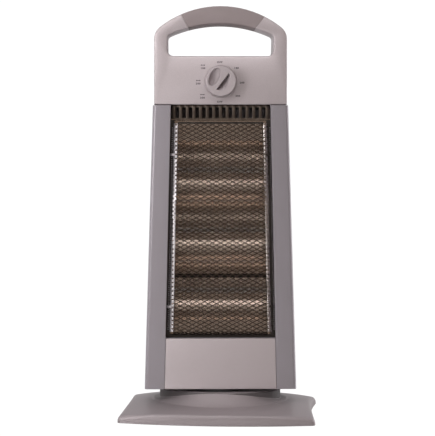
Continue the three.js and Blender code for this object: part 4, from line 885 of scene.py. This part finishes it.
def clip_hook(height, side):
    wall, edge = wall_half(height), guard_half(height) + GUARD_FLARE
    line = [(wall + out, y) for out, y in HOOK_AT_WALL] + [(edge + out, y) for out, y in HOOK_AT_EDGE]
    rings = []
    for (x, y), half in zip(line, HOOK_HALF_WIDTHS):
        narrow = half * HOOK_TAPER
        rings.append([(side * x, y, height - half), (side * x, y - HOOK_SHEET, height - narrow),
                      (side * x, y - HOOK_SHEET, height + narrow), (side * x, y, height + half)])
    points, faces = loft(rings)
    return points, flipped(faces) if side < 0 else faces


def make_clip_hooks():
    for level, height in HOOK_LEVELS.items():
        # The left hooks get the lighter guard look and the right ones the darker look: painted highlight and
        # painted shade
        for side, name, look in ((-1, "left", "guard_painted_highlight"), (1, "right", "guard_painted_shade")):
            points, faces = clip_hook(height, side)
            new_piece("clip_hook_" + level + "_" + name, metres(points), faces, "head", look, angle=30)


# Control knob: a tapered drum with two hollows beside a slanting grip
KNOB_Z, KNOB_TURN = 474.5, 32
KNOB_FRONT, KNOB_BACK = -66.1, -48.6
KNOB_AROUND, KNOB_RINGS, KNOB_EDGE, KNOB_ROUND = 160, 60, 20.7, 1.1
KNOB_TIP = 0.001
KNOB_PROFILE = (
    (20.95, KNOB_FRONT + 2.2), (21.75, KNOB_FRONT + 8), (22.5, KNOB_BACK - 1.6), (22.75, KNOB_BACK - 0.6),
    (22.4, KNOB_BACK), (3.3, KNOB_BACK), (3.3, KNOB_FRONT + 11),
)

# The left hollow is a leaning oval, deeper at its lower end and its outer side
LEFT_LEAN, LEFT_OUT, LEFT_UP = 7, -10.6, 0.2
LEFT_HALF_OUT, LEFT_HALF_UP = 6.6, 13.0
LEFT_DEPTH, LEFT_POWER = 12.5, 0.4
LEFT_LEVEL, LEFT_FALL_UP, LEFT_FALL_OUT = 0.72, 0.2, 0.14

# The right hollow starts at a steep wall beside the grip and runs out towards the edge
RIGHT_UP, RIGHT_HALF_UP = 1, 13.6
RIGHT_WIDTH, RIGHT_LEVEL, RIGHT_FALL_UP = 12.0, 0.74, 0.26
RIGHT_START, RIGHT_SLANT, RIGHT_WALL = 2.3, 1.4, 0.1
RIGHT_DEPTH, RIGHT_POWER, RIGHT_END_POWER = 12.0, 0.85, 0.35


def left_hollow(beside, along):
    lean = math.radians(LEFT_LEAN)
    out, up = beside - LEFT_OUT, along - LEFT_UP
    out, up = out * math.cos(lean) + up * math.sin(lean), up * math.cos(lean) - out * math.sin(lean)
    out, up = out / LEFT_HALF_OUT, up / LEFT_HALF_UP
    inside = 1 - out ** 2 - up ** 2
    if inside <= 0:
        return 0.0
    return LEFT_DEPTH * inside ** LEFT_POWER * (LEFT_LEVEL - LEFT_FALL_UP * up - LEFT_FALL_OUT * out)


def right_hollow(beside, along):
    place = (along - RIGHT_UP) / RIGHT_HALF_UP
    if abs(place) >= 1:
        return 0.0
    width = RIGHT_WIDTH * (1 - place * place) ** 0.5 * (RIGHT_LEVEL - RIGHT_FALL_UP * place)
    share = (beside - RIGHT_START - RIGHT_SLANT * place) / width
    if not 0 < share < 1:
        return 0.0
    wall = min(1, share / RIGHT_WALL)
    ends = (1 - place * place) ** RIGHT_END_POWER
    return RIGHT_DEPTH * wall * (1 - share) ** RIGHT_POWER * ends


def knob_face():
    """Rings from the knob's middle to its rounded edge, as deep as the hollows and the edge make them."""
    rings = []
    for step in range(KNOB_RINGS + 1):
        radius = KNOB_EDGE * math.sin(math.pi / 2 * step / KNOB_RINGS) if step else KNOB_TIP
        over = max(0.0, radius - (KNOB_EDGE - KNOB_ROUND))
        fall = KNOB_ROUND - math.sqrt(max(0.0, KNOB_ROUND ** 2 - over ** 2))
        ring = []
        for angle in circle_angles(KNOB_AROUND):
            beside, along = radius * math.cos(angle), radius * math.sin(angle)
            depth = max(left_hollow(beside, along), right_hollow(beside, along), fall)
            ring.append((beside, KNOB_FRONT + depth, along))
        rings.append(ring)
    return rings


def make_knob():
    rings = knob_face()
    for radius, y in KNOB_PROFILE:
        rings.append([(radius * math.cos(angle), y, radius * math.sin(angle))
                      for angle in circle_angles(KNOB_AROUND)])
    points, faces = loft(rings)
    cosine, sine = math.cos(math.radians(KNOB_TURN)), math.sin(math.radians(KNOB_TURN))
    points = [(x * cosine + z * sine, y, -x * sine + z * cosine + KNOB_Z) for x, y, z in points]
    new_piece("knob_body", metres(points), flipped(faces), "knob", "knob_silver", ("control_knob",), angle=40)


# Dial legends: plain numbers and arrows, as thin ink on the panel, placed from the knob's middle
PANEL_FRONT = -48.1
INK = 0.06
LETTER_SIZE, LETTER_SPACING, LETTER_WIDEN, LETTER_BOLD = 3.375, 1.2, 1.15, 0.00014
LEGENDS = [
    ("OFF", -1.2, 26.6), ("OFF", -1.2, -28.2),
    ("100", 21.9, 18.6), ("200", 29.8, -1.7), ("300", 23.9, -20.1),
    ("100", -24.6, 18.3), ("200", -31.3, -3.0), ("300", -25.3, -22.6),
]
ARROWS = [(-24.8, 22.7), (-31.2, 1.4), (-25.4, -18.2)]
ARROW_LENGTH, ARROW_NECK, ARROW_HEAD, ARROW_SHAFT = 3.4, 1.8, 1.1, 0.42
ARROW_SHAPE = (
    (-ARROW_LENGTH, 0), (-ARROW_NECK, ARROW_HEAD), (-ARROW_NECK, ARROW_SHAFT), (ARROW_NECK, ARROW_SHAFT),
    (ARROW_NECK, ARROW_HEAD), (ARROW_LENGTH, 0), (ARROW_NECK, -ARROW_HEAD), (ARROW_NECK, -ARROW_SHAFT),
    (-ARROW_NECK, -ARROW_SHAFT), (-ARROW_NECK, -ARROW_HEAD),
)


def legend(words, x, z):
    curve = bpy.data.curves.new("legend", "FONT")
    curve.body = words
    curve.size = LETTER_SIZE * MM
    curve.align_x = "CENTER"
    curve.align_y = "CENTER"
    curve.space_character = LETTER_SPACING
    curve.extrude = INK * MM / 2
    curve.offset = LETTER_BOLD
    writing = bpy.data.objects.new("legend", curve)
    mesh = bpy.data.meshes.new_from_object(writing)
    middle_y = (PANEL_FRONT - INK / 2) * MM
    points = []
    for vertex in mesh.vertices:
        px, pz, lift = vertex.co
        points.append((px * LETTER_WIDEN + x * MM, middle_y - lift, pz + (KNOB_Z + z) * MM))
    faces = [tuple(face.vertices) for face in mesh.polygons]
    bpy.data.objects.remove(writing)
    bpy.data.curves.remove(curve)
    bpy.data.meshes.remove(mesh)
    return points, faces


def arrow(x, z):
    depths = (PANEL_FRONT - INK, PANEL_FRONT)
    points, faces = loft([[(px + x, y, pz + KNOB_Z + z) for px, pz in ARROW_SHAPE] for y in depths])
    return metres(points), faces


def make_legends():
    points, faces = [], []
    for words, x, z in LEGENDS:
        add_mesh(points, faces, *legend(words, x, z))
    for x, z in ARROWS:
        add_mesh(points, faces, *arrow(x, z))
    new_piece("dial_legends", points, faces, "head", "ink")


# Reflector: a round trough behind each tube, with an open seam across the bottom one and a strip of painted
# shadow behind that seam
TUBE_HEIGHTS = {"top": 351.0, "middle": 265.5, "bottom": 180.0}
TUBE_Y = -20.0
RIDGE_Y, DEEP_Y, SHEET = -30.0, -3.0, 0.8
FLANGE_STEP, REFLECTOR_FOOT, REFLECTOR_HALF = 422.8, 104.0, 82.2
TROUGH_HALF, TROUGH_LIP, TROUGH_STEPS = 41.95, 2.4, 32
RIDGE_NOSE = ((0.0, 0.5), (0.15, -0.4), (0.8, -1.1))
TOP_NOSE = 0.2

# The sheet below the seam lies a little deeper and comes back to its place further down
SEAM_Z, SEAM_GAP, SEAM_DROP = 201.6, 2.2, 1.2
DROP_START, DROP_END = 130, 150
SEAM_STEP, SEAM_BEHIND, SEAM_OVERLAP, SEAM_STRIP = 8, 1.4, 2.5, 0.5


def behind(line, thickness):
    """A line's copy at this distance towards the back."""
    other = []
    for index, (y, z) in enumerate(line):
        before, after = line[max(0, index - 1)], line[min(len(line) - 1, index + 1)]
        run_y, run_z = after[0] - before[0], after[1] - before[1]
        length = math.hypot(run_y, run_z)
        other.append((y - run_z / length * thickness, z + run_y / length * thickness))
    return other


def trough(height):
    """The round part between two ridges, from its upper end to its lower one."""
    depth = DEEP_Y - RIDGE_Y
    radius = (TROUGH_HALF ** 2 + depth ** 2) / (2 * depth)
    reach = math.asin((TROUGH_HALF - TROUGH_LIP) / radius)
    return [(DEEP_Y - radius + radius * math.cos(angle), height + radius * math.sin(angle))
            for angle in steps(reach, -reach, TROUGH_STEPS)]


def reflector_line():
    line = [(RIDGE_Y + TOP_NOSE, FLANGE_STEP)]
    for height in TUBE_HEIGHTS.values():
        upper, lower = height + TROUGH_HALF, height - TROUGH_HALF
        line += [(RIDGE_Y + back, upper + up) for back, up in RIDGE_NOSE]
        line += trough(height)
        line += [(RIDGE_Y + back, lower - up) for back, up in reversed(RIDGE_NOSE)]
    line.append((RIDGE_Y, REFLECTOR_FOOT))
    return line


def make_sheet(name, line, thickness, look, replaced=()):
    outline = line + list(reversed(behind(line, thickness)))
    points, faces = across(outline, REFLECTOR_HALF)
    new_piece(name, metres(points), flipped(faces), "head", look, replaced, angle=30)


def make_reflector():
    line = reflector_line()
    upper = [(y, z) for y, z in line if z > SEAM_Z]
    lower = []
    for y, z in line:
        if z < SEAM_Z - SEAM_GAP:
            share = min(1.0, max(0.0, (z - DROP_START) / (DROP_END - DROP_START)))
            lower.append((y + SEAM_DROP * share, z))
    # A dark strip behind the seam is painted shadow: it draws the seam's shadow line, since the sheets
    # themselves are mirrors
    seam_y = trough(TUBE_HEIGHTS["bottom"])[SEAM_STEP][0] + SHEET + SEAM_BEHIND
    seam = [(seam_y, SEAM_Z + SEAM_OVERLAP), (seam_y, SEAM_Z - SEAM_GAP - SEAM_OVERLAP)]
    make_sheet("reflector_upper", upper, SHEET, "reflector", ("reflector",))
    make_sheet("reflector_lower", lower, SHEET, "reflector")
    make_sheet("reflector_seam_shadow", seam, SEAM_STRIP, "seam_painted_shadow")


# The slotted flange over the troughs, painted darker than the reflector sheet it belongs to as shade
FLANGE_Y, FLANGE_TOP, FLANGE_HALF = -41.0, 443.6, 68.9
VENTS, VENT_PITCH, VENT_HALF, VENT_TOP, VENT_FOOT = 14, 9.2786, 2.65, 439.0, 424.0
FLANGE_ROWS = (
    (FLANGE_Y, FLANGE_TOP), (FLANGE_Y, VENT_TOP), (FLANGE_Y, VENT_FOOT), (FLANGE_Y + 0.5, FLANGE_STEP + 0.4),
    (RIDGE_Y, FLANGE_STEP),
)
VENT_ROW = 1


def make_flange():
    columns = [-FLANGE_HALF]
    for index in range(VENTS):
        middle = (index - (VENTS - 1) / 2) * VENT_PITCH
        columns += [middle - VENT_HALF, middle + VENT_HALF]
    columns.append(FLANGE_HALF)
    points = [(x, y, z) for y, z in FLANGE_ROWS for x in columns]
    faces = []
    for row in range(len(FLANGE_ROWS) - 1):
        for column in range(len(columns) - 1):
            is_vent = row == VENT_ROW and column % 2
            if not is_vent:
                first = row * len(columns) + column
                faces.append((first, first + len(columns), first + len(columns) + 1, first + 1))
    flange = new_piece("reflector_flange", metres(points), faces, "head", "reflector_painted_shade", angle=40)
    thicken(flange, SHEET, -1)


# Quartz tubes with drawn-in ends
TUBE_AROUND, TUBE_STEPS, TUBE_HALF = 40, 24, 78.0
TUBE_RADIUS, TUBE_BORE = 5.0, 4.0
TUBE_START = ((-79.4, 4.1), (-79.9, 4.5), (-79.5, 4.95))
TUBE_END = ((79.5, 4.95), (79.9, 4.5), (79.4, 4.1))


def ring_about_tube(x, radius, height, count):
    return [(x, TUBE_Y + radius * math.cos(angle), height + radius * math.sin(angle))
            for angle in circle_angles(count)]


def make_tube(name, height):
    profile = list(TUBE_START)
    profile += [(x, TUBE_RADIUS) for x in steps(-TUBE_HALF, TUBE_HALF, TUBE_STEPS)]
    profile += TUBE_END
    profile += [(TUBE_HALF, TUBE_BORE), (-TUBE_HALF, TUBE_BORE)]
    rings = [ring_about_tube(x, radius, height, TUBE_AROUND) for x, radius in profile]
    points, faces = loft(rings, closed_run=True)
    new_piece("quartz_" + name, metres(points), faces, "head", "quartz", ("quartz_tube_" + name,), angle=40)


# The wound wire inside each tube, with a straight lead at both ends
COIL_TURNS, COIL_HALF, COIL_RADIUS = 62, 52.0, 2.45
WIRE_RADIUS, WIRE_SIDES, TURN_STEPS = 0.5, 6, 14
LEAD_SIDES = 12
LEAD_PROFILE = ((COIL_HALF - 1.5, 0.7), (COIL_HALF, 1.5), (80.0, 1.5), (80.5, 0.9), (83.8, 0.9))


def wire_ring(x, angle, height):
    """A ring round the wire, where the wire lies at this angle round the tube's axis."""
    out_y, out_z = math.cos(angle), math.sin(angle)
    ring = []
    for turn in circle_angles(WIRE_SIDES):
        away = COIL_RADIUS + WIRE_RADIUS * math.cos(turn)
        ring.append((x + WIRE_RADIUS * math.sin(turn), TUBE_Y + out_y * away, height + out_z * away))
    return ring


def make_coil(name, height):
    count = COIL_TURNS * TURN_STEPS
    places = steps(-COIL_HALF, COIL_HALF, count)
    points, faces = loft([wire_ring(x, 2 * math.pi * step / TURN_STEPS, height)
                          for step, x in enumerate(places)])
    for side in (-1, 1):
        lead = [ring_about_tube(side * x, radius, height, LEAD_SIDES) for x, radius in LEAD_PROFILE]
        lead_points, lead_faces = loft(lead)
        add_mesh(points, faces, lead_points, lead_faces if side > 0 else flipped(lead_faces))
    new_piece("coil_" + name, metres(points), faces, "head", "coil_wire", ("heating_coil_" + name,), angle=60)


make_base_shell()
make_hub_painted_shade()
make_joint_strip()
make_guard()
make_guard_rim()
make_lip_strands()
make_clip_hooks()
make_knob()
make_legends()
make_reflector()
make_flange()
for tube_name, tube_height in TUBE_HEIGHTS.items():
    make_tube(tube_name, tube_height)
    make_coil(tube_name, tube_height)
